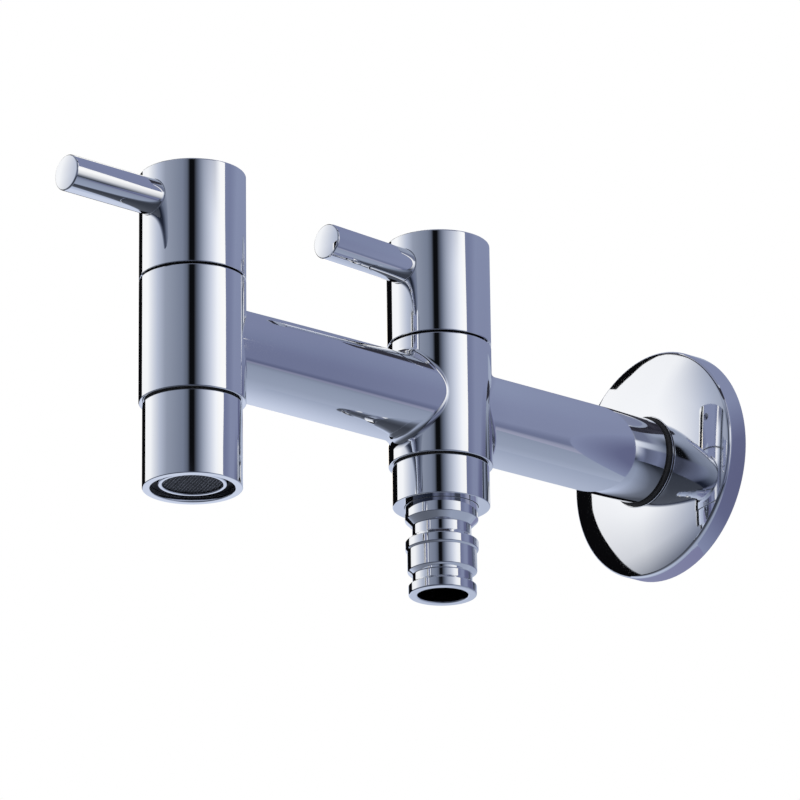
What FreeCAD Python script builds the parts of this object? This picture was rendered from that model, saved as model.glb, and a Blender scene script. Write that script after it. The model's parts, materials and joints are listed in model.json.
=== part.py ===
import FreeCAD, Part
import math
import os

# Wall tap with one inlet and two outlets, each with its own quarter-turn lever.
# The origin is on the pipe's axis in the plane of the wall. The pipe runs out of the
# wall along -Y, +Z is up, and the inlet thread goes into the wall along +Y.
# Sizes are in millimetres. Heights are measured from the pipe's axis.

# Threads and waterways
pipe_thread_od = 20.955      # half-inch parallel pipe thread
pipe_bore = 16.0
outlet_bore = 14.4           # down through each outlet

# Body
middle_reach = 88.0          # wall to the middle column's axis
column_spacing = 89.7
pipe_wall = 4.8
pipe_edge = 0.7              # bevel round the pipe's end at the wall
column_wall = 3.5            # round the cartridge's chamber
column_rise = 5.3            # column's top face above the pipe
column_drop = 5.1            # column's underside below the pipe
junction_fillet = 2.5        # round the middle column, where pipe and column meet
inlet_length = 14.0          # thread beyond the plane of the wall
inlet_lead = 1.0             # bevel at the free end of the thread
inlet_start = 1.0            # thread begins this far in front of the wall's plane
inlet_relief = 0.4           # plain neck behind the thread is this much smaller in radius
chamber_relief = 1.0         # chamber wider than the headwork's thread, in radius
seat_drop = 0.6              # seat below the pipe's bore
seat_land = 2.3              # width of the seat's ring face
throat_length = 3.0
stub_length = 6.0            # outlet thread below the column

# Cover plate at the wall
rosette_od = 68.5
rosette_rim = 5.1            # height of the upright rim
rosette_rise = 5.1           # dome's height above the rim
rosette_flat_od = 26.0
rosette_wall = 0.9
rosette_edge = 0.5           # bevel between rim and dome
seal_ring_proud = 0.7        # ring stands out round the pipe
seal_ring_height = 1.2

# Lever caps and rods
cap_gap = 0.65               # open seam between column and cap
cap_height = 30.85
cap_wall = 1.8
cap_roof = 4.6               # above the splined socket
cap_edge = 0.4
rod_drop = 9.6               # rod's axis below the cap's top
rod_od = 10.3
rod_reach = 45.1             # rod's tip from the column's axis
rod_edge = 0.35
rod_pocket_depth = 3.5
stud_od = 6.0
stud_margin = 1.9            # between the stud's end and the spline
grub_od = 5.0
grub_length = 8.0
grub_socket_flats = 2.5
grub_socket_depth = 2.5
front_lever_angle = 1.0      # swing off the pipe's line where the spline left it
middle_lever_angle = 4.5

# Headwork: the quarter-turn cartridge in each column
headwork_thread_length = 9.0
headwork_relief = 1.4        # lower shell smaller than the thread, in radius
headwork_wall = 1.5
disc_height = 3.0
port_inner = 1.8             # radius where the ports through the discs begin
port_rim = 1.7               # disc left outside the ports
port_span = 76.0             # degrees
drive_slot_depth = 1.2
blade_width = 3.0
blade_height = 6.0           # open height between disc and collar
collar_height = 3.4
notch_floor = 0.9            # collar left between journal and stop notch
journal_od = 10.0
thrust_washer_height = 0.8
flange_room = 0.9            # round the flange, inside the cap
flange_height = 1.5
hexagon_inset = 0.75         # hexagon's corners inside the flange's edge
hexagon_height = 5.0
neck_wall = 2.2
neck_height = 4.0
window_width = 9.0
stop_span = 30.0             # degrees
quarter_turn = 90.0          # degrees
stop_play = 1.0              # degrees
key_width = 3.0
spindle_seal_section = 1.7
spindle_seal_lift = 6.0      # above the inner shoulder
clip_height = 0.8
clip_overhang = 1.3          # beyond the journal, in radius
clip_groove_depth = 1.1
clip_opening = 60.0          # degrees
journal_end = 0.8            # journal above the clip
spline_step = 1.0            # spline smaller than the journal, in radius
spline_tooth = 0.5
spline_teeth = 20
seat_seal_height = 2.6
seat_seal_proud = 1.0        # seal below the headwork's lower end
gasket_height = 1.0

# Sleeve and aerator under the front column
sleeve_wall = 3.45           # sleeve round the outlet thread
sleeve_length = 24.4
outlet_gasket_height = 0.5
outlet_gasket_inset = 0.5
sleeve_web = 1.6
sleeve_web_depth = 2.8       # web stands inwards from the mouth's bore
mouth_wall = 2.15
mouth_edge = 0.25
aerator_recess = 1.7         # black ring's face above the mouth's rim
aerator_wall = 1.65
aerator_lip = 1.2            # height of the inward lip that holds the bright ring
aerator_washer_height = 1.8
ring_recess = 1.0            # bright ring's face above the mouth's rim
ring_step = 0.35             # bright ring's shoulder above the lip
ring_face = 1.25             # width of the bright face
ring_ledge = 0.5
ring_height = 4.0
ring_wall = 0.5
screen_height = 0.4
insert_hole_od = 3.6
insert_hole_count = 6

# Collar and nozzle under the middle column
hose_collar_length = 11.7
nozzle_washer_height = 1.2
tail_wall = 2.4
shoulder_step = 0.9          # shoulder wider than the tail, in radius
shoulder_length = 4.0
shoulder_bevel = 2.0
neck_groove_wall = 1.25
neck_groove_length = 3.0
barrel_wall = 2.75
barrel_length = 6.0
barrel_bevel = 1.1
bead_step = 0.5              # bead wider than the barrel, in radius
bead_cone = 1.5
bead_length = 2.4
bead_drop = 0.5              # cone from the bead down to the barrel
lower_groove_wall = 1.35
lower_groove_length = 2.4
lip_cone = 0.7
lip_step = 0.2               # lip smaller than the barrel, in radius
lip_length = 2.8

# Clearances
running_gap = 0.05           # radial, shaft in bore
thread_gap = 0.05            # radial, between mated threads
slip_gap = 0.1               # radial, rings and inserts that drop in
face_gap = 0.03              # between faces that slide on each other
end_gap = 0.6                # behind ends that must not bottom out

# Radii that follow from the sizes
thread_radius = pipe_thread_od / 2
thread_bore = thread_radius + thread_gap
pipe_radius = pipe_bore / 2 + pipe_wall
chamber_radius = thread_bore + chamber_relief
column_radius = chamber_radius + column_wall
headwork_lower_radius = thread_radius - headwork_relief
headwork_bore = headwork_lower_radius - headwork_wall
disc_radius = headwork_bore - slip_gap
seat_bore_radius = disc_radius - seat_land
journal_radius = journal_od / 2
notch_radius = journal_radius + notch_floor
cap_bore = column_radius - cap_wall
flange_radius = cap_bore - flange_room
neck_radius = journal_radius + running_gap + neck_wall
spline_radius = journal_radius - spline_step
sleeve_radius = thread_bore + sleeve_wall
mouth_radius = sleeve_radius - mouth_wall
web_bore = mouth_radius - sleeve_web_depth
aerator_bore = mouth_radius - thread_gap - aerator_wall
ring_shoulder_radius = aerator_bore - slip_gap
ring_radius = ring_shoulder_radius - ring_step
ring_cup = ring_radius - ring_wall
outlet_radius = outlet_bore / 2
tail_radius = outlet_radius + tail_wall
barrel_radius = outlet_radius + barrel_wall

# Places that follow from the sizes
front_reach = middle_reach + column_spacing
pipe_end = rosette_rim + rosette_rise + seal_ring_height
column_top = pipe_radius + column_rise
column_bottom = -pipe_radius - column_drop

seat_level = -pipe_bore / 2 - seat_drop
fixed_disc_level = seat_level + seat_seal_height
turning_disc_level = fixed_disc_level + disc_height + face_gap
disc_top = turning_disc_level + disc_height
collar_level = disc_top + blade_height
collar_top = collar_level + collar_height
inner_shoulder = collar_top + thrust_washer_height + 2 * face_gap
headwork_bottom = seat_level + seat_seal_proud
flange_level = column_top + gasket_height
headwork_thread_level = flange_level - headwork_thread_length
hexagon_level = flange_level + flange_height
neck_level = hexagon_level + hexagon_height
neck_top = neck_level + neck_height
clip_level = neck_top + face_gap
journal_top = clip_level + clip_height + journal_end

cap_level = column_top + cap_gap
cap_top = cap_level + cap_height
cap_ceiling = journal_top + end_gap
socket_top = cap_top - cap_roof
rod_level = cap_top - rod_drop
pocket_floor = column_radius - rod_pocket_depth
stud_end = spline_radius + stud_margin

stub_level = column_bottom - stub_length
outlet_gasket_level = column_bottom - outlet_gasket_height
sleeve_bottom = outlet_gasket_level - sleeve_length
web_top = stub_level - end_gap
web_bottom = web_top - sleeve_web
aerator_top = web_bottom - aerator_washer_height
aerator_bottom = sleeve_bottom + aerator_recess
ring_level = sleeve_bottom + ring_recess
screen_level = ring_level + ring_ledge
insert_level = screen_level + screen_height

tail_top = stub_level - nozzle_washer_height
collar_bottom = outlet_gasket_level - hose_collar_length
shoulder_level = collar_bottom - shoulder_length
neck_groove_top = shoulder_level - shoulder_bevel
neck_groove_level = neck_groove_top - neck_groove_length
bead_top = neck_groove_level - bead_cone
bead_level = bead_top - bead_length
barrel_top = bead_level - bead_drop
barrel_level = barrel_top - barrel_length
lower_groove_top = barrel_level - barrel_bevel
lower_groove_level = lower_groove_top - lower_groove_length
lip_top = lower_groove_level - lip_cone
nozzle_bottom = lip_top - lip_length

UP = FreeCAD.Vector(0, 0, 1)
CENTRE = FreeCAD.Vector(0, 0, 0)


def turned(outline, start=0.0, turn=360.0):
    """Solid turned about the upright axis from (radius, height) corners."""
    corners = [FreeCAD.Vector(radius, 0, height) for radius, height in outline]
    solid = Part.Face(Part.makePolygon(corners + corners[:1])).revolve(CENTRE, UP, turn)
    solid.rotate(CENTRE, UP, start)
    return solid


def cylinder(radius, bottom, top):
    return Part.makeCylinder(radius, top - bottom, FreeCAD.Vector(0, 0, bottom), UP)


def ring(outer, inner, bottom, top):
    return turned([(inner, bottom), (outer, bottom), (outer, top), (inner, top)])


def sector(outer, inner, bottom, top, start, end):
    """Piece of a ring between two angles in degrees."""
    outline = [(inner, bottom), (outer, bottom), (outer, top), (inner, top)]
    return turned(outline, start, end - start)


def bar(length, width, bottom, top):
    """Upright-centred block along X."""
    corner = FreeCAD.Vector(-length / 2, -width / 2, bottom)
    return Part.makeBox(length, width, top - bottom, corner)


def prism(corners, bottom, top):
    points = [FreeCAD.Vector(x, y, bottom) for x, y in corners]
    face = Part.Face(Part.makePolygon(points + points[:1]))
    return face.extrude(FreeCAD.Vector(0, 0, top - bottom))


def hexagon(flats, bottom, top):
    radius = flats / math.sqrt(3)
    turns = [math.radians(60 * side) for side in range(6)]
    return prism([(radius * math.cos(t), radius * math.sin(t)) for t in turns], bottom, top)


def spline(tip, bottom, top):
    """Toothed bar: tips and roots take turns round the axis."""
    corners = []
    for step in range(2 * spline_teeth):
        radius = tip if step % 2 else tip - spline_tooth
        angle = math.radians(step * 180 / spline_teeth)
        corners.append((radius * math.cos(angle), radius * math.sin(angle)))
    return prism(corners, bottom, top)


def along_pipe(solid):
    """Lay an upright solid down, so that its height runs out from the wall."""
    solid.rotate(CENTRE, FreeCAD.Vector(1, 0, 0), 90)
    return solid


def at_reach(solid, reach):
    solid.translate(FreeCAD.Vector(0, -reach, 0))
    return solid


def circle_edges(solid, radius, height):
    """Edges that go round the upright axis at one radius and height."""
    found = []
    for edge in solid.Edges:
        if edge.Degenerated or not isinstance(edge.Curve, Part.Circle):
            continue
        same_radius = abs(edge.Curve.Radius - radius) < 1e-4
        if same_radius and abs(edge.Curve.Center.z - height) < 1e-4:
            found.append(edge)
    return found


def bevelled(solid, radius, height, size):
    return solid.makeChamfer(size, circle_edges(solid, radius, height))


def junction_edges(solid, reach):
    """Curved seams where the pipe meets the column at one reach."""
    found = []
    for edge in solid.Edges:
        straight = isinstance(edge.Curve, (Part.Line, Part.Circle))
        near = abs(edge.CenterOfMass.y + reach) < 2 * column_radius
        if near and not straight:
            found.append(edge)
    return found


def inlet():
    """Hollow thread that goes into the wall, with a plain neck behind it."""
    thread = cylinder(thread_radius, -inlet_length, inlet_start)
    thread = bevelled(thread, thread_radius, -inlet_length, inlet_lead)
    return thread.fuse(cylinder(thread_radius - inlet_relief, inlet_start, pipe_end))


def body_outside():
    pipe = bevelled(cylinder(pipe_radius, pipe_end, front_reach), pipe_radius, pipe_end, pipe_edge)
    solid = along_pipe(pipe)
    for reach in (middle_reach, front_reach):
        solid = solid.fuse(at_reach(cylinder(column_radius, column_bottom, column_top), reach))
    solid = solid.makeFillet(junction_fillet, junction_edges(solid, middle_reach))
    for reach in (middle_reach, front_reach):
        stub = cylinder(thread_radius, stub_level, column_bottom)
        solid = solid.fuse(at_reach(stub, reach))
    return solid.fuse(along_pipe(inlet()))


def chamber_hollow():
    """Room for one cartridge, with its seat and the way down to the outlet."""
    throat_level = seat_level - throat_length
    thread_bottom = headwork_thread_level - end_gap
    return turned([
        (0, stub_level),
        (outlet_radius, stub_level),
        (outlet_radius, throat_level),
        (seat_bore_radius, throat_level),
        (seat_bore_radius, seat_level),
        (chamber_radius, seat_level),
        (chamber_radius, thread_bottom),
        (thread_bore, thread_bottom),
        (thread_bore, column_top),
        (0, column_top),
    ])


def valve_body():
    solid = body_outside()
    solid = solid.cut(along_pipe(cylinder(pipe_bore / 2, -inlet_length, front_reach)))
    for reach in (middle_reach, front_reach):
        solid = solid.cut(at_reach(chamber_hollow(), reach))
    return solid


def dome_wire(radius, rim_height, top, flat_radius, drop):
    """Closed outline of a domed disc: upright rim, arc to the flat centre, axis."""
    span = radius - flat_radius
    curve_radius = (span ** 2 + drop ** 2) / (2 * drop)
    half_turn = math.asin(span / curve_radius) / 2
    middle = FreeCAD.Vector(
        flat_radius + curve_radius * math.sin(half_turn),
        0,
        top - curve_radius * (1 - math.cos(half_turn)),
    )
    rim_foot = FreeCAD.Vector(radius, 0, 0)
    rim_top = FreeCAD.Vector(radius, 0, rim_height)
    flat_edge = FreeCAD.Vector(flat_radius, 0, top)
    axis_top = FreeCAD.Vector(0, 0, top)
    return Part.Wire([
        Part.LineSegment(CENTRE, rim_foot).toShape(),
        Part.LineSegment(rim_foot, rim_top).toShape(),
        Part.Arc(rim_top, middle, flat_edge).toShape(),
        Part.LineSegment(flat_edge, axis_top).toShape(),
        Part.LineSegment(axis_top, CENTRE).toShape(),
    ])


def domed_disc(radius, inset):
    top = rosette_rim + rosette_rise - inset
    rim_height = rosette_rim - inset
    wire = dome_wire(radius, rim_height, top, rosette_flat_od / 2, rosette_rise)
    return Part.Face(wire).revolve(CENTRE, UP, 360)


def wall_rosette():
    """Pressed cover plate, hollow behind, with a hole for the inlet thread."""
    outside = domed_disc(rosette_od / 2, 0)
    outside = bevelled(outside, rosette_od / 2, rosette_rim, rosette_edge)
    inside = domed_disc(rosette_od / 2 - rosette_wall, rosette_wall)
    hole = cylinder(thread_radius + slip_gap, 0, rosette_rim + rosette_rise)
    return along_pipe(outside.cut(inside).cut(hole))


def rosette_seal_ring():
    level = rosette_rim + rosette_rise
    outer = pipe_radius + seal_ring_proud
    return along_pipe(ring(outer, thread_radius + slip_gap, level, pipe_end))


def at_lever(solid, angle):
    """Lay an upright solid along the lever and swing it to the lever's angle."""
    solid = along_pipe(solid)
    solid.translate(FreeCAD.Vector(0, 0, rod_level))
    solid.rotate(CENTRE, UP, angle)
    return solid


def lever_cap(angle):
    """Cap with a splined socket, a side pocket for the rod and a screw hole behind it."""
    solid = bevelled(cylinder(column_radius, cap_level, cap_top), column_radius, cap_top, cap_edge)
    solid = solid.cut(cylinder(cap_bore, cap_level, cap_ceiling))
    sideways = [
        cylinder(rod_od / 2 + running_gap, pocket_floor, 2 * column_radius),
        cylinder(stud_od / 2 + thread_gap, stud_end - end_gap, pocket_floor),
        cylinder(grub_od / 2 + thread_gap, -2 * column_radius, 0),
    ]
    for hole in sideways:
        solid = solid.cut(at_lever(hole, angle))
    return solid.cut(spline(spline_radius + running_gap, cap_ceiling, socket_top))


def lever_rod(angle):
    """Plain round handle with a threaded stud behind it."""
    solid = cylinder(rod_od / 2, pocket_floor, rod_reach)
    solid = bevelled(solid, rod_od / 2, rod_reach, rod_edge)
    return at_lever(solid.fuse(cylinder(stud_od / 2, stud_end, pocket_floor)), angle)


def grub_screw(angle):
    """Socket screw that bears on the spindle's spline from behind the rod."""
    point = -spline_radius - running_gap
    head = point - grub_length
    solid = bevelled(cylinder(grub_od / 2, head, point), grub_od / 2, point, grub_od / 8)
    solid = solid.cut(hexagon(grub_socket_flats, head, head + grub_socket_depth))
    return at_lever(solid, angle)


def cartridge_housing():
    """Brass headwork: threaded shell with side windows, inner stop and key slots."""
    journal_bore = journal_radius + running_gap
    solid = turned([
        (headwork_bore, headwork_bottom),
        (headwork_lower_radius, headwork_bottom),
        (headwork_lower_radius, headwork_thread_level),
        (thread_radius, headwork_thread_level),
        (thread_radius, flange_level),
        (flange_radius, flange_level),
        (flange_radius, hexagon_level),
        (neck_radius, hexagon_level),
        (neck_radius, neck_top),
        (journal_bore, neck_top),
        (journal_bore, inner_shoulder),
        (headwork_bore, inner_shoulder),
    ])
    flats = (flange_radius - hexagon_inset) * math.sqrt(3)
    nut = hexagon(flats, hexagon_level, neck_level)
    solid = solid.fuse(nut.cut(cylinder(neck_radius, hexagon_level, neck_level)))
    solid = solid.fuse(sector(
        (headwork_bore + headwork_lower_radius) / 2, notch_radius + slip_gap,
        collar_level, inner_shoulder,
        180 - stop_span / 2, 180 + stop_span / 2,
    ))
    across = 3 * headwork_lower_radius
    solid = solid.cut(bar(across, window_width, disc_top + end_gap, collar_level - end_gap))
    slot_width = key_width + 2 * slip_gap
    return solid.cut(bar(across, slot_width, headwork_bottom, turning_disc_level))


def housing_gasket():
    return ring(flange_radius - slip_gap, thread_radius + slip_gap, column_top, flange_level)


def thrust_washer():
    bottom = collar_top + face_gap
    inner = journal_radius + slip_gap
    return ring(notch_radius - slip_gap, inner, bottom, bottom + thrust_washer_height)


def spindle_groove():
    middle = inner_shoulder + spindle_seal_lift
    half = spindle_seal_section / 2 + slip_gap
    floor = journal_radius - spindle_seal_section
    return ring(journal_od, floor, middle - half, middle + half)


def spindle():
    """Turning shaft: drive blade, stop collar, journal with grooves, and spline."""
    blade_bottom = disc_top - drive_slot_depth + face_gap
    blade = bar(2 * headwork_bore, blade_width, blade_bottom, collar_level)
    solid = blade.common(cylinder(disc_radius, blade_bottom, collar_level))
    solid = solid.fuse(cylinder(disc_radius, collar_level, collar_top))
    solid = solid.fuse(cylinder(journal_radius, collar_top, journal_top))
    notch_end = 180 + stop_span / 2 + stop_play
    notch_start = 180 - stop_span / 2 - stop_play - quarter_turn
    solid = solid.cut(sector(
        2 * disc_radius, notch_radius, collar_level, collar_top, notch_start, notch_end,
    ))
    solid = solid.cut(spindle_groove())
    clip_floor = journal_radius - clip_groove_depth
    solid = solid.cut(ring(journal_od, clip_floor, clip_level, clip_level + clip_height))
    return solid.fuse(spline(spline_radius, journal_top, socket_top - end_gap))


def spindle_seal():
    """Square-section rubber ring, flush with the journal."""
    middle = inner_shoulder + spindle_seal_lift
    half = spindle_seal_section / 2
    inner = journal_radius - spindle_seal_section
    return ring(journal_radius, inner, middle - half, middle + half)


def spindle_clip():
    """Open clip that sits in the journal's upper groove, above the neck."""
    return sector(
        journal_radius + clip_overhang, journal_radius - clip_groove_depth,
        clip_level, clip_level + clip_height,
        clip_opening / 2, 360 - clip_opening / 2,
    )


def disc_ports(bottom, top, facing):
    ports = []
    for side in (facing, facing + 180):
        start = side - port_span / 2
        outer = disc_radius - port_rim
        ports.append(sector(outer, port_inner, bottom, top, start, start + port_span))
    return ports


def turning_disc():
    """Upper ceramic disc, closed at rest: its ports stand a quarter turn off."""
    solid = cylinder(disc_radius, turning_disc_level, disc_top)
    for port in disc_ports(turning_disc_level, disc_top, 90):
        solid = solid.cut(port)
    slot_width = blade_width + 2 * running_gap
    return solid.cut(bar(3 * disc_radius, slot_width, disc_top - drive_slot_depth, disc_top))


def fixed_disc():
    """Lower ceramic disc, held from turning by two keys in the headwork's slots."""
    top = fixed_disc_level + disc_height
    solid = cylinder(disc_radius, fixed_disc_level, top)
    solid = solid.fuse(bar(2 * headwork_lower_radius, key_width, fixed_disc_level, top))
    for port in disc_ports(fixed_disc_level, top, 0):
        solid = solid.cut(port)
    return solid


def seat_seal():
    return ring(disc_radius, seat_bore_radius, seat_level, fixed_disc_level)


def outlet_gasket():
    outer = sleeve_radius - outlet_gasket_inset
    return ring(outer, thread_radius + slip_gap, outlet_gasket_level, column_bottom)


def spout_sleeve():
    """Straight sleeve screwed on the outlet stub, with a web above the aerator."""
    solid = turned([
        (thread_bore, outlet_gasket_level),
        (sleeve_radius, outlet_gasket_level),
        (sleeve_radius, sleeve_bottom),
        (mouth_radius, sleeve_bottom),
        (mouth_radius, web_bottom),
        (web_bore, web_bottom),
        (web_bore, web_top),
        (thread_bore, web_top),
    ])
    return bevelled(solid, sleeve_radius, sleeve_bottom, mouth_edge)


def aerator_washer():
    return ring(mouth_radius - slip_gap, web_bore, aerator_top, web_bottom)


def aerator_housing():
    """Threaded plastic shell with an inward lip that keeps the bright ring in."""
    shoulder = aerator_bottom + aerator_lip
    return turned([
        (mouth_radius - thread_gap, aerator_top),
        (aerator_bore, aerator_top),
        (aerator_bore, shoulder),
        (ring_radius + slip_gap, shoulder),
        (ring_radius + slip_gap, aerator_bottom),
        (mouth_radius - thread_gap, aerator_bottom),
    ])


def aerator_ring():
    """Bright ring: a cup with a ledge for the screen and a shoulder above the lip."""
    shoulder = aerator_bottom + aerator_lip
    top = ring_level + ring_height
    return turned([
        (ring_radius - ring_face, ring_level),
        (ring_radius, ring_level),
        (ring_radius, shoulder),
        (ring_shoulder_radius, shoulder),
        (ring_shoulder_radius, top),
        (ring_cup, top),
        (ring_cup, screen_level),
        (ring_radius - ring_face, screen_level),
    ])


def aerator_screen():
    return cylinder(ring_cup - slip_gap, screen_level, insert_level)


def aerator_insert():
    """Flow straightener: a plug with a ring of round holes."""
    radius = ring_cup - slip_gap
    hole_radius = insert_hole_od / 2
    solid = cylinder(radius, insert_level, aerator_top)
    solid = solid.cut(cylinder(hole_radius, insert_level, aerator_top))
    for step in range(insert_hole_count):
        hole = cylinder(hole_radius, insert_level, aerator_top)
        hole.translate(FreeCAD.Vector((radius + hole_radius) / 2, 0, 0))
        hole.rotate(CENTRE, UP, step * 360 / insert_hole_count)
        solid = solid.cut(hole)
    return solid


def hose_collar():
    """Short sleeve that screws on the outlet stub and takes the nozzle's tail."""
    solid = turned([
        (thread_bore, outlet_gasket_level),
        (sleeve_radius, outlet_gasket_level),
        (sleeve_radius, collar_bottom),
        (tail_radius + thread_gap, collar_bottom),
        (tail_radius + thread_gap, tail_top),
        (thread_bore, tail_top),
    ])
    return bevelled(solid, sleeve_radius, collar_bottom, mouth_edge)


def nozzle_washer():
    return ring(thread_radius - slip_gap, outlet_radius, tail_top, stub_level)


def hose_nozzle():
    """Turned nozzle: shoulder, locking neck, bead, barrel, groove and lip, one bore."""
    shoulder_radius = tail_radius + shoulder_step
    neck_groove_radius = outlet_radius + neck_groove_wall
    bead_radius = barrel_radius + bead_step
    lower_groove_radius = outlet_radius + lower_groove_wall
    lip_radius = barrel_radius - lip_step
    return turned([
        (outlet_radius, tail_top),
        (tail_radius, tail_top),
        (tail_radius, collar_bottom),
        (shoulder_radius, collar_bottom),
        (shoulder_radius, shoulder_level),
        (neck_groove_radius, neck_groove_top),
        (neck_groove_radius, neck_groove_level),
        (bead_radius, bead_top),
        (bead_radius, bead_level),
        (barrel_radius, barrel_top),
        (barrel_radius, barrel_level),
        (lower_groove_radius, lower_groove_top),
        (lower_groove_radius, lower_groove_level),
        (lip_radius, lip_top),
        (lip_radius, nozzle_bottom),
        (outlet_radius, nozzle_bottom),
    ])


def column_pieces(name, angle):
    """What each column holds, from the lever cap down to the seat."""
    return {
        f"{name}_lever_cap": lever_cap(angle),
        f"{name}_lever_rod": lever_rod(angle),
        f"{name}_grub_screw": grub_screw(angle),
        f"{name}_cartridge_housing": cartridge_housing(),
        f"{name}_housing_gasket": housing_gasket(),
        f"{name}_thrust_washer": thrust_washer(),
        f"{name}_spindle": spindle(),
        f"{name}_spindle_seal": spindle_seal(),
        f"{name}_spindle_clip": spindle_clip(),
        f"{name}_turning_disc": turning_disc(),
        f"{name}_fixed_disc": fixed_disc(),
        f"{name}_seat_seal": seat_seal(),
    }


def front_outlet():
    return {
        "spout_gasket": outlet_gasket(),
        "spout_sleeve": spout_sleeve(),
        "aerator_washer": aerator_washer(),
        "aerator_housing": aerator_housing(),
        "aerator_ring": aerator_ring(),
        "aerator_screen": aerator_screen(),
        "aerator_insert": aerator_insert(),
    }


def middle_outlet():
    return {
        "collar_gasket": outlet_gasket(),
        "hose_collar": hose_collar(),
        "nozzle_washer": nozzle_washer(),
        "hose_nozzle": hose_nozzle(),
    }


def all_pieces():
    pieces = {
        "valve_body": valve_body(),
        "wall_rosette": wall_rosette(),
        "rosette_seal_ring": rosette_seal_ring(),
    }
    front = column_pieces("front", front_lever_angle)
    front.update(front_outlet())
    middle = column_pieces("middle", middle_lever_angle)
    middle.update(middle_outlet())
    pieces.update({node: at_reach(solid, front_reach) for node, solid in front.items()})
    pieces.update({node: at_reach(solid, middle_reach) for node, solid in middle.items()})
    return pieces


def main():
    os.makedirs("parts", exist_ok=True)
    for node, solid in all_pieces().items():
        if not solid.isValid() or len(solid.Solids) != 1:
            raise ValueError(f"{node} is not one valid solid")
        solid.Solids[0].exportStep(f"parts/{node}.step")
        print(node, round(solid.Volume, 1))


main()
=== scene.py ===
"""Chromed wall tap with two outlets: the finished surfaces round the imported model."""

import json
import math

import bmesh
import bpy
from mathutils import Matrix, Vector


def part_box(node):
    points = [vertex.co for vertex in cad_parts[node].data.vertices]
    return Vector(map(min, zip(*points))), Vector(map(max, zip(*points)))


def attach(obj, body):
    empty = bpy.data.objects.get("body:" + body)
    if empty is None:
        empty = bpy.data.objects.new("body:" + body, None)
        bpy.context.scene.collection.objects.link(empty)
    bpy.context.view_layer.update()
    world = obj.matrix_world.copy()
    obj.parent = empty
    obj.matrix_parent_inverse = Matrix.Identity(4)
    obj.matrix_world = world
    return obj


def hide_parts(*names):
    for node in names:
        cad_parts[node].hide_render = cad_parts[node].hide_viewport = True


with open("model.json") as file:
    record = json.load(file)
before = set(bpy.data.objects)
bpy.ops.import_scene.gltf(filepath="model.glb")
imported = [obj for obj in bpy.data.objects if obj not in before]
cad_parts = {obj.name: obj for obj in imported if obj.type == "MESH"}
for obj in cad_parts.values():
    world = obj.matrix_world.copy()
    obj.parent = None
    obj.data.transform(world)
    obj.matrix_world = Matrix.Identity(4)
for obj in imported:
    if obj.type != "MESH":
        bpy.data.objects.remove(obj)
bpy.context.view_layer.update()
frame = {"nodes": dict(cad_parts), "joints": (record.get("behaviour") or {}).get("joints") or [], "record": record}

bl_info = {
    "name": "Wall tap with two outlets",
    "version": (1, 0, 0),
    "blender": (4, 5, 0),
    "location": "3D View > Sidebar > Tap",
    "description": "Builds the finished surfaces of a chromed wall tap round its packed model",
    "category": "Object",
}

MM = 0.001
MICRON = 0.001 * MM
QUARTER = math.pi / 2
CRISP = 0.0
SUPPORT = 0.03 * MM          # flat faces keep their own shading up to this far from a rounding
ROOM = 1.05                  # on a side that is longer than that by this factor
BESIDE_HOLE = 0.003          # and a column's wall, in radians, up to this far from a hole's side
BESIDE_END = 0.05 * MM       # and a tube up to this far from its ends

# Points nearer than this are joined: within one outline, in one sheet and between sheets.
TIGHT_SEAM = 1e-7
SEAM = 1e-6
WIDE_SEAM = 2e-6


def joint_place(name):
    """Point on the axis of a lever's joint."""
    joint = next(j for j in frame["joints"] if j["name"] == name)
    return Vector(joint["pos_m"])


def span(node, axis):
    """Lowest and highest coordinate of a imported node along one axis."""
    low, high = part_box(node)
    return low[axis], high[axis]


def half_width(node):
    """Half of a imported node's width in X, which is its radius where it is turned."""
    low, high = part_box(node)
    return (high.x - low.x) / 2


FRONT_Y = joint_place("front_lever_turn").y
MIDDLE_Y = joint_place("middle_lever_turn").y
COLUMN_Y = {"front": FRONT_Y, "middle": MIDDLE_Y}


# Sizes and finishes
def length(name, description, default):
    """A length that the user may change, in metres."""
    return bpy.props.FloatProperty(
        name=name, description=description, default=default, min=0.0,
        precision=5, subtype="DISTANCE", unit="LENGTH")


def colour(name, description, default):
    """A colour that the user may change."""
    return bpy.props.FloatVectorProperty(
        name=name, description=description, default=default, size=3,
        min=0.0, max=1.0, subtype="COLOR")


def share(name, description, default):
    """A plain number from nought to one."""
    return bpy.props.FloatProperty(
        name=name, description=description, default=default, min=0.0, max=1.0)


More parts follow.
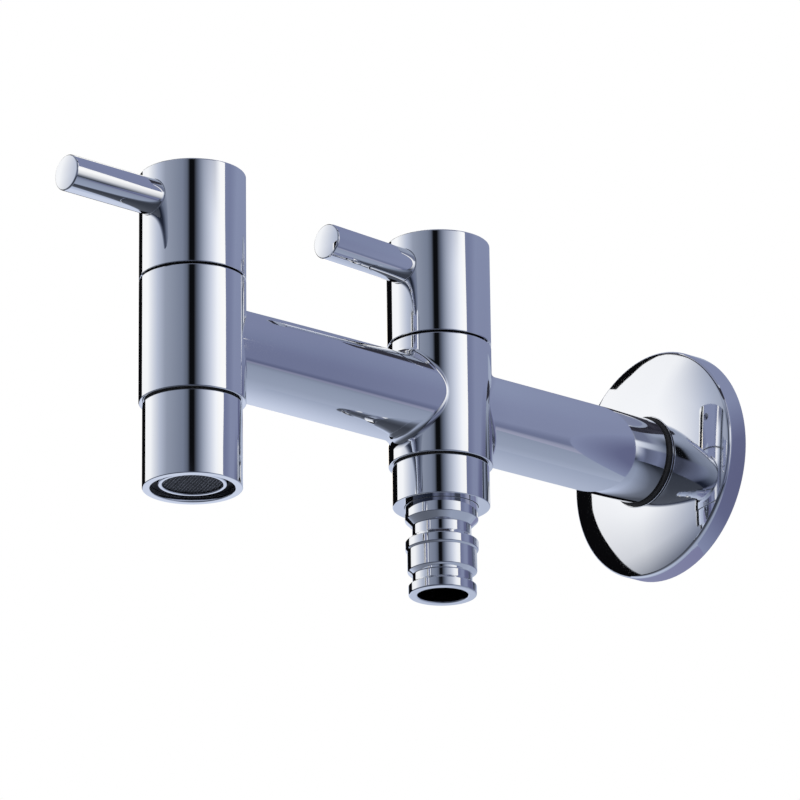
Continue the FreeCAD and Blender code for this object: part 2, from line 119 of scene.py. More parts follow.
class TapSizes(bpy.types.PropertyGroup):
    """Sizes of the tap's visible pieces."""

    column_radius: length("Column radius", "Outside radius of both columns",
                          half_width("front_lever_cap"))
    column_edge: length("Column edge", "Rounding of the columns' rims", 0.3 * MM)
    pipe_radius: length("Pipe radius", "Outside radius of the pipe", 12.8 * MM)
    pipe_edge: length("Pipe edge", "Rounding of the pipe's end at the wall", 0.7 * MM)
    pipe_bore: length("Pipe bore", "Radius of the water's way in", 8.0 * MM)
    front_blend: length("Front blend", "Rounding where the pipe meets the front column", 0.35 * MM)
    middle_blend: length("Middle blend", "Rounding where the pipe meets the middle column",
                         2.5 * MM)
    chamber_radius: length("Chamber radius", "Inside radius of each column", 11.5275 * MM)
    outlet_bore: length("Outlet bore", "Radius of the bore under each column", 7.2 * MM)
    thread_radius: length("Thread radius", "Outside radius of the half-inch thread", 10.4775 * MM)
    thread_depth: length("Thread depth", "Depth of the thread's ridges", 1.1 * MM)
    thread_pitch: length("Thread pitch", "Distance from one ridge to the next", 1.8143 * MM)
    cap_bore: length("Cap bore", "Inside radius of the lever caps", 13.2275 * MM)
    cap_edge: length("Cap edge", "Rounding round the top of the caps", 0.4 * MM)
    rod_radius: length("Rod radius", "Radius of the lever rods", 5.15 * MM)
    rod_dome: length("Rod dome", "Height of the dome on a rod's end", 0.5 * MM)
    rod_edge: length("Rod edge", "Rounding round a rod's end", 0.55 * MM)
    screw_radius: length("Screw radius", "Radius of the screw behind each cap", 2.5 * MM)
    plate_rim: length("Plate rim", "Height of the cover plate's upright rim", 6.5 * MM)
    plate_edge: length("Plate edge", "Rounding from the cover plate's face to its rim", 1.3 * MM)
    plate_wall: length("Plate wall", "Thickness of the cover plate", 0.9 * MM)
    plate_flat: length("Plate flat", "Radius of the flat at the cover plate's middle", 13.0 * MM)
    sleeve_edge: length("Sleeve edge", "Rounding round the sleeves' rims", 0.25 * MM)
    weave_pitch: length("Weave pitch", "Distance between the screen's wires", 0.95 * MM)


class TapFinishes(bpy.types.PropertyGroup):
    """Colours and polish of the tap's finishes."""

    chrome: colour("Chrome", "Colour of the chromed body", (0.95, 0.955, 0.965))
    plate: colour("Cover plate", "Colour of the cover plate", (0.94, 0.945, 0.96))
    polish: share("Polish", "Roughness of the chrome", 0.035)
    black: colour("Black plastic", "Colour of the black ring in the spout", (0.005, 0.005, 0.006))
    rubber: colour("Rubber", "Colour of the seals", (0.008, 0.008, 0.009))
    brass: colour("Brass", "Colour of the headworks", (0.72, 0.53, 0.27))
    steel: colour("Steel", "Colour of the small screws", (0.50, 0.50, 0.51))
    nylon: colour("Nylon", "Colour of the pale plastic parts", (0.80, 0.80, 0.77))
    ceramic: colour("Ceramic", "Colour of the valve discs", (0.86, 0.85, 0.82))
    wire: colour("Wire", "Colour of the woven screen", (0.50, 0.50, 0.51))


def sizes():
    """The sizes as the panel shows them."""
    return bpy.context.scene.tap_sizes


def finishes():
    """The colours and polish as the panel shows them."""
    return bpy.context.scene.tap_finishes


# Modelling helpers
def spread(start, end, count):
    """Evenly spaced values from start to end, in that many steps."""
    return [start + (end - start) * i / count for i in range(count + 1)]


def start_alone():
    """Leaves nothing selected, because an operator acts on all that is selected."""
    if bpy.context.mode != "OBJECT":
        bpy.ops.object.mode_set(mode="OBJECT")
    bpy.ops.object.select_all(action="DESELECT")


def pick(*pieces):
    """Selects only these pieces and makes the first one active."""
    start_alone()
    for piece in pieces:
        piece.select_set(True)
    bpy.context.view_layer.objects.active = pieces[0]


def set_place(piece, turn=None, move=None):
    """Turns and moves a piece, and keeps that in its mesh."""
    pick(piece)
    if turn:
        piece.rotation_euler = turn
    if move:
        piece.location = move
    bpy.ops.object.transform_apply(location=True, rotation=True, scale=True)
    return piece


def close_and_smooth(piece, angle=35.0, gap=SEAM):
    """Merges the seams, turns all faces outwards and shades the round parts smooth."""
    pick(piece)
    bpy.ops.object.mode_set(mode="EDIT")
    bpy.ops.mesh.select_all(action="SELECT")
    bpy.ops.mesh.remove_doubles(threshold=gap)
    bpy.ops.mesh.normals_make_consistent(inside=False)
    bpy.ops.mesh.select_all(action="DESELECT")
    bpy.ops.object.mode_set(mode="OBJECT")
    bpy.ops.object.shade_smooth_by_angle(angle=math.radians(angle))
    return piece


def joined(name, parts):
    """Joins several pieces into one of that name."""
    pick(*parts)
    bpy.ops.object.join()
    whole = bpy.context.object
    whole.name = name
    whole.data.name = name
    return whole


def bevel_reach(before, corner, after, rounding):
    """How far from a corner along its edges a rounding of that radius begins."""
    back = (before - corner).normalized()
    ahead = (after - corner).normalized()
    half = back.angle(ahead) / 2
    return rounding / math.tan(half)


def support_point(corner, side, reach):
    """The support point on a side of a rounded corner, in a list, if the side has room."""
    far = reach + SUPPORT
    return [corner + side.normalized() * far] if side.length > far * ROOM else []


def outline_stops(outline):
    """Points of a section with a support point either side of each rounded corner."""
    points = [Vector((r, 0.0, z)) for r, z, edge in outline]
    stops = []
    corners = []
    for i, here in enumerate(points):
        edge = outline[i][2]
        if not edge:
            stops.append(here)
            continue
        before = points[i - 1]
        after = points[(i + 1) % len(points)]
        reach = bevel_reach(before, here, after, edge)
        stops += support_point(here, before - here, reach)
        stops.append(here)
        stops += support_point(here, after - here, reach)
        corners.append((here, reach))
    return stops, corners


def draw_outline(name, stops, closed):
    """Draws a section as a chain of edges in the XZ plane."""
    start_alone()
    bpy.ops.mesh.primitive_plane_add(size=1.0 * MM, location=(0, 0, 0))
    piece = bpy.context.object
    piece.name = name
    piece.data.name = name
    bpy.ops.object.mode_set(mode="EDIT")
    bpy.ops.mesh.select_all(action="SELECT")
    bpy.ops.mesh.merge(type="CENTER")
    bpy.ops.transform.translate(value=stops[0])
    chain = list(stops[1:]) + ([stops[0]] if closed else [])
    here = stops[0]
    for stop in chain:
        bpy.ops.mesh.extrude_region_move(TRANSFORM_OT_translate={"value": stop - here})
        here = stop
    bpy.ops.mesh.select_all(action="SELECT")
    bpy.ops.mesh.remove_doubles(threshold=TIGHT_SEAM)
    return piece


def round_corners(piece, corners, segments):
    """Rounds the section's marked corners, one at a time, by their place."""
    for place, reach in corners:
        bpy.ops.mesh.select_all(action="DESELECT")
        mesh = bmesh.from_edit_mesh(piece.data)
        for vert in mesh.verts:
            vert.select = (vert.co - place).length < SEAM
        mesh.select_flush_mode()
        bmesh.update_edit_mesh(piece.data)
        bpy.ops.mesh.bevel(affect="VERTICES", offset=reach, offset_type="OFFSET",
                           segments=segments, profile=0.5)


def turned_piece(name, outline, steps=192, closed=True, segments=5):
    """A piece turned about the Z axis. The outline lists radius, height and rounding."""
    stops, corners = outline_stops(outline)
    piece = draw_outline(name, stops, closed)
    round_corners(piece, corners, segments)
    bpy.ops.mesh.select_all(action="SELECT")
    bpy.ops.mesh.spin(steps=steps, angle=2 * math.pi, center=(0, 0, 0), axis=(0, 0, 1))
    bpy.ops.object.mode_set(mode="OBJECT")
    return close_and_smooth(piece)


def laid_grid(name, rows):
    """A grid whose rows of points lie where they are given."""
    start_alone()
    bpy.ops.mesh.primitive_grid_add(
        x_subdivisions=len(rows[0]) - 1, y_subdivisions=len(rows) - 1, size=1.0)
    sheet = bpy.context.object
    sheet.name = name
    flat = [c for row in rows for point in row for c in point]
    sheet.data.vertices.foreach_set("co", flat)
    sheet.data.update()
    return sheet


def finish_piece(piece, body, slot, *nodes):
    """Gives a piece its finish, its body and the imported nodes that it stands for."""
    if not piece.data.materials:
        piece.data.materials.append(MATERIALS[slot])
    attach(piece, body)
    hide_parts(*nodes)
    return piece


# Columns with holes in their side
SAME_WAY = 1e-6              # two directions are one if the angle between them is smaller


def arc_between(start, end, centre, count):
    """Points on the small arc about a centre from one point to another."""
    a = start - centre
    b = end - centre
    angle = a.angle(b)
    if angle < SAME_WAY:
        return [start.copy()] * (count + 1)
    points = []
    for i in range(count + 1):
        part = i / count
        wa = math.sin((1 - part) * angle) / math.sin(angle)
        wb = math.sin(part * angle) / math.sin(angle)
        points.append(centre + a * wa + b * wb)
    return points


class SideHole:
    """A round hole in a column's side, or a pipe that leaves it, with a rounded rim."""

    def __init__(self, bearing, height, radius, rounding, outward, column_radius):
        self.bearing = bearing
        self.height = height
        self.radius = radius
        self.column_radius = column_radius
        sign = 1.0 if outward else -1.0
        self.reach = column_radius + sign * rounding
        self.lift = radius + rounding
        self.arcs = 10 if self.lift - radius > MM else 5     # steps across the rounding

    def rim(self, turn):
        """Where a small ball that rolls round the rim touches column and hole, and its centre.

        Each is (side, out, up), with out along the hole's own axis."""
        side = self.lift * math.sin(turn)
        up = self.lift * math.cos(turn)
        out = math.sqrt(self.reach ** 2 - side ** 2)
        wall = Vector((side * self.column_radius / self.reach,
                       out * self.column_radius / self.reach, up))
        hole = Vector((self.radius * math.sin(turn), out, self.radius * math.cos(turn)))
        return wall, hole, Vector((side, out, up))

    def half_angle(self):
        """Half of the angle that the hole takes up on the column, with its rounding."""
        return math.asin(min(1.0, self.lift / self.reach))

    def place(self, point):
        """Turns a point given as (side, out, up) to this hole's bearing."""
        side, out, up = point
        c = math.cos(self.bearing)
        s = math.sin(self.bearing)
        return Vector((out * c - side * s, out * s + side * c, up + self.height))

    def bearings(self, count):
        """Bearings across the hole from one side to the other, with its rim's height."""
        stops = []
        for turn in spread(-QUARTER, QUARTER, count):
            wall = self.rim(turn)[0]
            offset = math.atan2(wall.x, wall.y)
            stops.append((self.bearing + offset, wall.z))
        return stops

    def rim_rows(self, count):
        """Rows round the whole rim, from the column's wall to the hole or pipe."""
        columns = []
        for i in range(2 * count + 1):
            turn = -QUARTER + math.pi * i / count
            wall, hole, centre = self.rim(turn)
            arc = arc_between(wall, hole, centre, self.arcs)
            columns.append([self.place(point) for point in arc])
        columns[-1] = columns[0]
        return [[column[k] for column in columns] for k in range(self.arcs + 1)]


def column_bearings(holes, count, plain_step):
    """All bearings round a column: even round each hole, and wider between the holes.

    Each stop is (bearing, rim height above and below the hole's axis, hole or None)."""
    fewest, evenness = 6, 0.4
    ordered = sorted(holes, key=lambda hole: hole.bearing)
    stops = []
    for i, hole in enumerate(ordered):
        stops += [(bearing, abs(lift), hole) for bearing, lift in hole.bearings(count)]
        follower = ordered[(i + 1) % len(ordered)]
        start = hole.bearing + hole.half_angle() + BESIDE_HOLE
        end = follower.bearing - follower.half_angle()
        if i == len(ordered) - 1:
            end += 2 * math.pi
        end -= BESIDE_HOLE
        stops.append((start, 0.0, None))
        between = max(fewest, int((end - start) / plain_step))
        for k in range(1, between):
            soft = (1 - math.cos(math.pi * k / between)) / 2
            part = (1 - evenness) * soft + evenness * k / between
            stops.append((start + (end - start) * part, 0.0, None))
        stops.append((end, 0.0, None))
    bearing, lift, hole = stops[0]
    stops.append((bearing + 2 * math.pi, lift, hole))
    return stops


def wall_rows(stops, radius, axis_height, end_height, inner_rows):
    """Rows of a column's wall from the holes' rims to one end of the wall."""
    sign = 1.0 if end_height > axis_height else -1.0
    support = SUPPORT * sign
    beside_rim, beside_end = "beside rim", "beside end"
    places = [0.0, beside_rim, *(i / inner_rows for i in range(1, inner_rows)), beside_end, 1.0]
    rows = []
    for part in places:
        row = []
        for bearing, lift, hole in stops:
            start = axis_height + sign * lift
            if part == beside_rim:
                height = start + (support if hole else support * 0.5)
            elif part == beside_end:
                height = end_height - support
            else:
                height = start + (end_height - start) * part
            row.append(Vector((radius * math.cos(bearing), radius * math.sin(bearing), height)))
        rows.append(row)
    return rows


def ring_rows(stops, section):
    """Rows of a turned surface on the same bearings as a column's wall."""
    return [[Vector((r * math.cos(b), r * math.sin(b), z)) for b, lift, hole in stops]
            for r, z in section]


def rounded_section(outline, segments=5):
    """The same kind of outline as a turned piece's, as points with its roundings in."""
    points = [Vector((r, z)) for r, z, edge in outline]
    section = []
    for i, (r, z, edge) in enumerate(outline):
        here = points[i]
        if not edge or i in (0, len(points) - 1):
            section.append((r, z))
            continue
        back = points[i - 1] - here
        ahead = points[i + 1] - here
        half = back.angle(ahead) / 2
        reach = edge / math.tan(half)
        inwards = (back.normalized() + ahead.normalized()).normalized()
        arc = arc_between(here + back.normalized() * reach, here + ahead.normalized() * reach,
                          here + inwards * (edge / math.sin(half)), segments)
        section += support_point(here, back, reach) + arc + support_point(here, ahead, reach)
    return section


def tube_rows(first, last):
    """Rows of a tube between two rings, with one just inside each end to keep its shading true."""
    near = [a + (b - a).normalized() * BESIDE_END for a, b in zip(first, last)]
    far = [b + (a - b).normalized() * BESIDE_END for a, b in zip(first, last)]
    return [first, near, far, last]


# Materials
def new_material(name, kind):
    """A new material with one shader of that kind, and the piece's own coordinates."""
    material = bpy.data.materials.new(name)
    material.use_nodes = True
    tree = material.node_tree
    tree.nodes.clear()
    output = tree.nodes.new("ShaderNodeOutputMaterial")
    shader = tree.nodes.new(kind)
    tree.links.new(shader.outputs[0], output.inputs["Surface"])
    place = tree.nodes.new("ShaderNodeTexCoord").outputs["Object"]
    return material, tree, shader, place


def noise(tree, place, scale, detail=3.0, roughness=0.5, stretch=None):
    """A noise pattern on the piece's own coordinates."""
    pattern = tree.nodes.new("ShaderNodeTexNoise")
    pattern.inputs["Scale"].default_value = scale
    pattern.inputs["Detail"].default_value = detail
    pattern.inputs["Roughness"].default_value = roughness
    if stretch:
        mapping = tree.nodes.new("ShaderNodeMapping")
        mapping.inputs["Scale"].default_value = stretch
        tree.links.new(place, mapping.inputs["Vector"])
        place = mapping.outputs["Vector"]
    tree.links.new(place, pattern.inputs["Vector"])
    return pattern.outputs["Fac"]


def ramp(tree, source, stops):
    """A colour ramp with stops of (place, colour)."""
    node = tree.nodes.new("ShaderNodeValToRGB")
    band = node.color_ramp
    band.interpolation = "LINEAR"
    while len(band.elements) < len(stops):
        band.elements.new(1.0)
    for element, (place, value) in zip(band.elements, stops):
        element.position = place
        element.color = (*value, 1.0)
    tree.links.new(source, node.inputs["Fac"])
    return node.outputs["Color"]


def mapped(tree, source, low, high, low_in=0.0, high_in=1.0):
    """A value carried from one range into another."""
    node = tree.nodes.new("ShaderNodeMapRange")
    node.inputs["From Min"].default_value = low_in
    node.inputs["From Max"].default_value = high_in
    node.inputs["To Min"].default_value = low
    node.inputs["To Max"].default_value = high
    tree.links.new(source, node.inputs["Value"])
    return node.outputs["Result"]


def graded(tree, source, start, end, stops):
    """Colours along a value that runs from start to end, with stops of (share, colour)."""
    return ramp(tree, mapped(tree, source, 0.0, 1.0, start, end), stops)


def bumped(tree, heights):
    """Adds up relief from several (pattern, depth in metres)."""
    normal = None
    for source, depth in heights:
        bump = tree.nodes.new("ShaderNodeBump")
        bump.inputs["Strength"].default_value = 1.0
        bump.inputs["Distance"].default_value = depth
        tree.links.new(source, bump.inputs["Height"])
        if normal:
            tree.links.new(normal, bump.inputs["Normal"])
        normal = bump.outputs["Normal"]
    return normal


def tinted(base, factor):
    """A colour made lighter or darker by a factor."""
    return tuple(min(1.0, c * factor) for c in base)


def surface(name, base, clouds, tones, rough, relief, **constants):
    """A finish from noise patterns.

    clouds are the patterns' settings, tones are (place on the first pattern, factor on the
    base colour), rough is (pattern, lowest, highest, from, to) and relief lists
    (pattern, depth in metres). Constants are named as the shader's sockets are."""
    material, tree, shader, place = new_material(name, "ShaderNodeBsdfPrincipled")
    for socket, value in constants.items():
        shader.inputs[socket.replace("_", " ")].default_value = value
    patterns = [noise(tree, place, *settings) for settings in clouds]
    tone = ramp(tree, patterns[0], [(at, tinted(base, factor)) for at, factor in tones])
    tree.links.new(tone, shader.inputs["Base Color"])
    tree.links.new(mapped(tree, patterns[rough[0]], *rough[1:]), shader.inputs["Roughness"])
    normal = bumped(tree, [(patterns[i], depth) for i, depth in relief])
    tree.links.new(normal, shader.inputs["Normal"])
    return material


def chrome_finish(name, base, polish, wave):
    """Mirror plate: a trace of orange peel, hairline polish marks and a breath of haze."""
    return surface(
        name, base,
        [(55.0, 4.0, 0.55), (140.0, 5.0, 0.65), (70.0, 1.0, 0.4),
         (900.0, 2.0, 0.5, (1.0, 1.0, 0.06))],
        [(0.30, 0.985), (0.70, 1.0)], (1, polish * 0.75, polish * 1.5, 0.35, 0.75),
        [(2, wave), (3, 0.12 * MICRON)], Metallic=1.0)


def moulded_finish(name, base, rough, grain, gloss=0.5):
    """Moulded plastic: a fine even grain and slightly uneven sheen."""
    return surface(
        name, base, [(120.0, 3.0), (2600.0, 2.0)], [(0.3, 0.9), (0.7, 1.08)],
        (1, rough * 0.85, rough * 1.2, 0.3, 0.7), [(1, grain)], IOR=1.5, Specular_IOR_Level=gloss)


def turned_metal_finish(name, base, rough, direction):
    """Lathe-turned metal: fine rings along the axis and a little tarnish."""
    return surface(
        name, base, [(160.0, 5.0, 0.6), (900.0, 2.0, 0.6, direction)],
        [(0.25, 0.82), (0.55, 1.0), (0.8, 1.08)], (1, rough * 0.75, rough * 1.3, 0.3, 0.7),
        [(1, 4.0 * MICRON)], Metallic=1.0)


def rubber_finish(name, base):
    """Dull rubber with a dusty, slightly pitted skin."""
    return surface(
        name, base, [(420.0, 5.0, 0.7), (3000.0, 2.0)], [(0.35, 1.0), (0.85, 2.2)],
        (0, 0.55, 0.8, 0.3, 0.7), [(1, 6.0 * MICRON)], IOR=1.5)


def ceramic_finish(name, base):
    """Lapped ceramic: pale, dense and faintly mottled, with a soft gloss."""
    return surface(
        name, base, [(700.0, 4.0)], [(0.3, 0.94), (0.7, 1.0)],
        (0, 0.18, 0.3, 0.3, 0.7), [(0, 1.0 * MICRON)], IOR=1.7)


MATERIALS = {}


def mix_materials():
    """Makes every finish once, under the name of the slot that it goes to."""
    f = finishes()
    upright = (1.0, 1.0, 14.0)
    MATERIALS.update({
        "chrome_plate": chrome_finish("chrome_body", f.chrome, f.polish, 1.1 * MICRON),
        "rosette_plate": chrome_finish("chrome_cover_plate", f.plate, f.polish * 1.1, 1.6 * MICRON),
        "bright_ring": chrome_finish("chrome_aerator_ring", f.chrome, f.polish * 1.3, 0.8 * MICRON),
        "aerator_plastic": moulded_finish("black_moulding", f.black, 0.35, 2.0 * MICRON, 0.05),
        "insert_plastic": moulded_finish("pale_moulding", f.nylon, 0.42, 4.0 * MICRON),
        "headwork_brass": turned_metal_finish("turned_brass", f.brass, 0.26, upright),
        "screw_steel": turned_metal_finish("plain_steel", f.steel, 0.32, upright),
        "screen_mesh": turned_metal_finish("woven_wire", f.wire, 0.30, (1.0, 1.0, 1.0)),
        # The finer screen behind the weave is a real layer, coloured black as painted shade inside the aerator.
        "fine_screen_and_shade": moulded_finish("fine_screen_shade", f.black, 0.6, 4.0 * MICRON, 0.1),
        "rubber": rubber_finish("seal_rubber", f.rubber),
        "ceramic": ceramic_finish("lapped_ceramic", f.ceramic),
    })


# Body
BODY_TOP = 18.1 * MM
THREADED_BORE = 10.5275 * MM     # inside of what a half-inch thread is screwed into
PIPE_RIM_STEPS = 44              # steps round half of the pipe's rim
THREAD_STEPS = 64                # steps in one turn of the thread


def body_column(name, holes):
    """One column of the body with the stub under it and the chamber inside it."""
    s = sizes()
    radius = s.column_radius
    edge = s.column_edge
    low, high = span("spout_gasket", 2)[1], BODY_TOP
    stub = span("valve_body", 2)[0]
    seat_bore = 5.1775 * MM
    ledge, seat, throat = 9.5 * MM, -8.6 * MM, -11.6 * MM
    stops = column_bearings(holes, PIPE_RIM_STEPS, math.radians(3.0))
    top = rounded_section([
        (radius, high - edge - SUPPORT, CRISP),
        (radius, high, edge),
        (THREADED_BORE, high, 0.25 * MM),
        (THREADED_BORE, ledge, CRISP),
        (s.chamber_radius, ledge, CRISP),
        (s.chamber_radius, seat, CRISP),
        (seat_bore, seat, CRISP),
        (seat_bore, throat, CRISP),
        (s.outlet_bore, throat, CRISP),
        (s.outlet_bore, stub, 0.3 * MM),
        (s.thread_radius, stub, 0.6 * MM),
        (s.thread_radius, low, CRISP),
        (radius, low, edge),
        (radius, low + edge + SUPPORT, CRISP),
    ])
    surfaces = [wall_rows(stops, radius, 0.0, high - edge - SUPPORT, 5),
                wall_rows(stops, radius, 0.0, low + edge + SUPPORT, 5),
                ring_rows(stops, top)]
    surfaces += [hole.rim_rows(PIPE_RIM_STEPS) for hole in holes]
    return [laid_grid(name, rows) for rows in surfaces]


def pipe_end(hole, y):
    """The ring of points where the pipe begins, at a hole of the column at that Y."""
    shift = Vector((0, y, 0))
    return [point + shift for point in hole.rim_rows(PIPE_RIM_STEPS)[-1]]


def matched_row(guide, row):
    """The same ring of points in the order in which the guide's points lie."""
    order = [min(row[:-1], key=lambda q: (q.x - point.x) ** 2 + (q.z - point.z) ** 2)
             for point in guide[:-1]]
    return order + [order[0]]


def inlet_sheets(wall_side):
    """The pipe's end at the wall, its neck, the thread's core and the bore."""
    s = sizes()
    end, neck_end, core_start, thread_end = -11.4 * MM, -1.2 * MM, -0.9 * MM, 14.0 * MM
    bore_end, drill_point = -60.0 * MM, -64.0 * MM
    neck = 10.0775 * MM
    core = s.thread_radius - s.thread_depth
    bearings = [math.atan2(p.x, p.z) for p in wall_side]
    section = rounded_section([
        (s.pipe_radius, end - s.pipe_edge - 2 * SUPPORT, CRISP),
        (s.pipe_radius, end, s.pipe_edge),
        (neck, end, CRISP),
        (neck, neck_end, CRISP),
        (core, core_start, CRISP),
        (core, thread_end, 0.3 * MM),
        (s.pipe_bore, thread_end, 0.4 * MM),
        (s.pipe_bore, bore_end, CRISP),
        (0.0, drill_point, CRISP),
    ])
    rows = [[Vector((r * math.sin(a), y, r * math.cos(a))) for a in bearings] for r, y in section]
    run = laid_grid("body_pipe_end", tube_rows(wall_side, rows[0]))
    return [run, laid_grid("body_inlet", rows)]


def thread_ridge(name):
    """The helical ridge of the inlet's thread, which sinks into its core."""
    s = sizes()
    pitch = s.thread_pitch
    core = s.thread_radius - s.thread_depth
    root = core - 0.15 * MM
    wide = 0.47 * pitch
    start, end = -0.4 * MM, 13.05 * MM
    lead_start, lead_length = 12.2 * MM, 1.1 * MM
    run_out, lowest = 40, 0.02
    count = int((end - start) / pitch * THREAD_STEPS)
    rows = []
    for i in range(count + 1):
        angle = 2 * math.pi * i / THREAD_STEPS
        middle = start + pitch * i / THREAD_STEPS
        lead = max(0.0, (middle - lead_start) / lead_length)
        height = max(lowest, min(1.0, min(i, count - i) / run_out, 1.0 - 0.75 * lead))
        crest = core + s.thread_depth * height
        slim = wide - (wide - 0.10 * pitch) * height
        profile = [(root, -wide), (core, -wide), (crest, -slim), (crest, slim),
                   (core, wide), (root, wide), (root, -wide)]
        rows.append([Vector((r * math.sin(angle), middle + y, r * math.cos(angle)))
                     for r, y in profile])
    ridge = laid_grid(name, rows)
    pick(ridge)
    bpy.ops.object.mode_set(mode="EDIT")
    bpy.ops.mesh.select_all(action="SELECT")
    bpy.ops.mesh.remove_doubles(threshold=TIGHT_SEAM)
    bpy.ops.mesh.select_all(action="DESELECT")
    bpy.ops.mesh.select_non_manifold(extend=False)
    bpy.ops.mesh.edge_face_add()
    bpy.ops.object.mode_set(mode="OBJECT")
    return ridge


def build_body():
    """The cast body: pipe, two columns, stubs and the threaded inlet."""
    s = sizes()
    front_back, middle_front, middle_back = [
        SideHole(bearing, 0.0, s.pipe_radius, blend, True, s.column_radius)
        for bearing, blend in ((QUARTER, s.front_blend), (-QUARTER, s.middle_blend),
                               (QUARTER, s.middle_blend))]
    sheets = []
    for y, holes in ((FRONT_Y, [front_back]), (MIDDLE_Y, [middle_front, middle_back])):
        sheets += [set_place(sheet, move=(0, y, 0)) for sheet in body_column("body_sheet", holes)]
    front_end = pipe_end(front_back, FRONT_Y)
    # Points run the opposite way round on facing rims, so one rim's are matched to the other's.
    near_end = matched_row(front_end, pipe_end(middle_front, MIDDLE_Y))
    sheets.append(laid_grid("body_pipe", tube_rows(front_end, near_end)))
    sheets += inlet_sheets(pipe_end(middle_back, MIDDLE_Y))
    body = close_and_smooth(joined("body_casting", sheets), gap=WIDE_SEAM)
    ridge = close_and_smooth(thread_ridge("inlet_thread_ridge"), gap=TIGHT_SEAM)
    return joined("body_casting", [body, ridge])


# Cover plate and seals
PLATE_HOLE = 10.5775 * MM        # radius of the hole round the inlet's neck
LIP_RADIUS = 13.55 * MM          # where the small lip round the pipe's seal stands
LIP_ROOM = 0.6 * MM
# The lip's section, as (outwards, up, rounding) in millimetres.
LIP = [(0.0, 0.0, 0.0), (0.03, 0.13, 0.04), (0.20, 0.11, 0.06), (0.26, 0.0, 0.0)]
DOME_STEPS = 24


def build_cover_plate():
    """The pressed cover plate, hollow behind, with its hole for the inlet's neck."""
    s = sizes()
    rim_radius = half_width("wall_rosette")
    low, high = span("wall_rosette", 1)
    height = high - low
    rim, flat, wall = s.plate_rim, s.plate_flat, s.plate_wall
    run, rise = rim_radius - flat, height - rim
    bow = (run ** 2 + rise ** 2) / (2 * rise)

    def fall(r):
        """How far the dome has fallen at that radius."""
        return bow - math.sqrt(bow ** 2 - (r - flat) ** 2)

    shares = [i / DOME_STEPS for i in range(1, DOME_STEPS)]
    outer = [flat + run * part for part in shares]
    inner = [flat + (run - wall) * part for part in reversed(shares)]
    outline = [(PLATE_HOLE, height, 0.15 * MM)]
    outline += [(LIP_RADIUS + out * MM, height + up * MM, edge * MM) for out, up, edge in LIP]
    outline += [(r, height - fall(r), CRISP) for r in outer if r > LIP_RADIUS + LIP_ROOM]
    outline += [(rim_radius, rim, s.plate_edge), (rim_radius, 0.0, 0.3 * MM),
                (rim_radius - wall, 0.0, 0.3 * MM), (rim_radius - wall, rim - 0.9 * wall, 0.3 * MM)]
    outline += [(r, height - wall - fall(r), CRISP) for r in inner]
    outline += [(flat, height - wall, CRISP), (PLATE_HOLE, height - wall, 0.15 * MM)]
    plate = turned_piece("cover_plate", outline, steps=256, segments=6)
    return set_place(plate, turn=(QUARTER, 0, 0))


def flat_ring(name, inner, outer, low, high, edge):
    """A ring of rubber with its outer edges rounded."""
    return turned_piece(name, [(inner, low, CRISP), (outer, low, edge),
                               (outer, high, edge), (inner, high, CRISP)])


def build_pipe_seal():
    """The dark ring between the pipe's end and the cover plate."""
    low, high = span("rosette_seal_ring", 1)
    outer = half_width("rosette_seal_ring")
    ring = flat_ring("pipe_seal", PLATE_HOLE, outer, 0.0, high - low, 0.4 * MM)
    return set_place(ring, turn=(QUARTER, 0, 0), move=(0, high, 0))


def build_gasket(name, node, y):
    """A flat seal between a column and what is screwed under it."""
    inner = sizes().thread_radius + 0.1 * MM
    ring = flat_ring(name, inner, half_width(node), *span(node, 2), 0.12 * MM)
    return set_place(ring, move=(0, y, 0))


# Caps and rods
LEVER_ANGLE = {"front": math.radians(1.0), "middle": math.radians(4.5)}
ROD_HEIGHT = 40.0 * MM
CAP_CEILING = 31.83 * MM
CAP_RIM_STEPS = 24               # steps round half of a hole's rim in a cap


def build_cap(column):
    """A lever cap with its open underside, the rod's pocket and the screw's hole."""
    s = sizes()
    radius = s.column_radius
    edge, low_edge = s.cap_edge, 0.25 * MM
    low, high = span(column + "_lever_cap", 2)
    bearing = -QUARTER + LEVER_ANGLE[column]
    pocket = SideHole(bearing, ROD_HEIGHT, s.rod_radius + 0.05 * MM, 0.18 * MM, False, radius)
    access = SideHole(bearing + math.pi, ROD_HEIGHT, s.screw_radius + 0.05 * MM, 0.15 * MM, False,
                      radius)
    stops = column_bearings([pocket, access], CAP_RIM_STEPS, math.radians(2.4))
    top = rounded_section([
        (radius, high - edge - SUPPORT, CRISP),
        (radius, high, edge),
        (0.0, high, CRISP)])
    under = rounded_section([
        (radius, low + low_edge + SUPPORT, CRISP),
        (radius, low, low_edge),
        (s.cap_bore, low, 0.2 * MM),
        (s.cap_bore, CAP_CEILING, 0.5 * MM),
        (0.0, CAP_CEILING, CRISP)])
    surfaces = [wall_rows(stops, radius, ROD_HEIGHT, high - edge - SUPPORT, 3),
                wall_rows(stops, radius, ROD_HEIGHT, low + low_edge + SUPPORT, 5),
                ring_rows(stops, top), ring_rows(stops, under)]
    for hole, floor in ((pocket, 11.5275 * MM), (access, 3.9 * MM)):
        rim = hole.rim_rows(CAP_RIM_STEPS)
        inward = Vector((math.cos(hole.bearing), math.sin(hole.bearing), 0))
        bottom = [p + inward * (floor - p.dot(inward)) for p in rim[-1]]
        middle = Vector((0, 0, hole.height)) + inward * floor
        surfaces += [rim, tube_rows(rim[-1], bottom) + [[middle] * len(bottom)]]
    cap = joined(column + "_cap", [laid_grid("cap_sheet", rows) for rows in surfaces])
    close_and_smooth(cap, gap=WIDE_SEAM)
    return set_place(cap, move=(0, COLUMN_Y[column], 0))


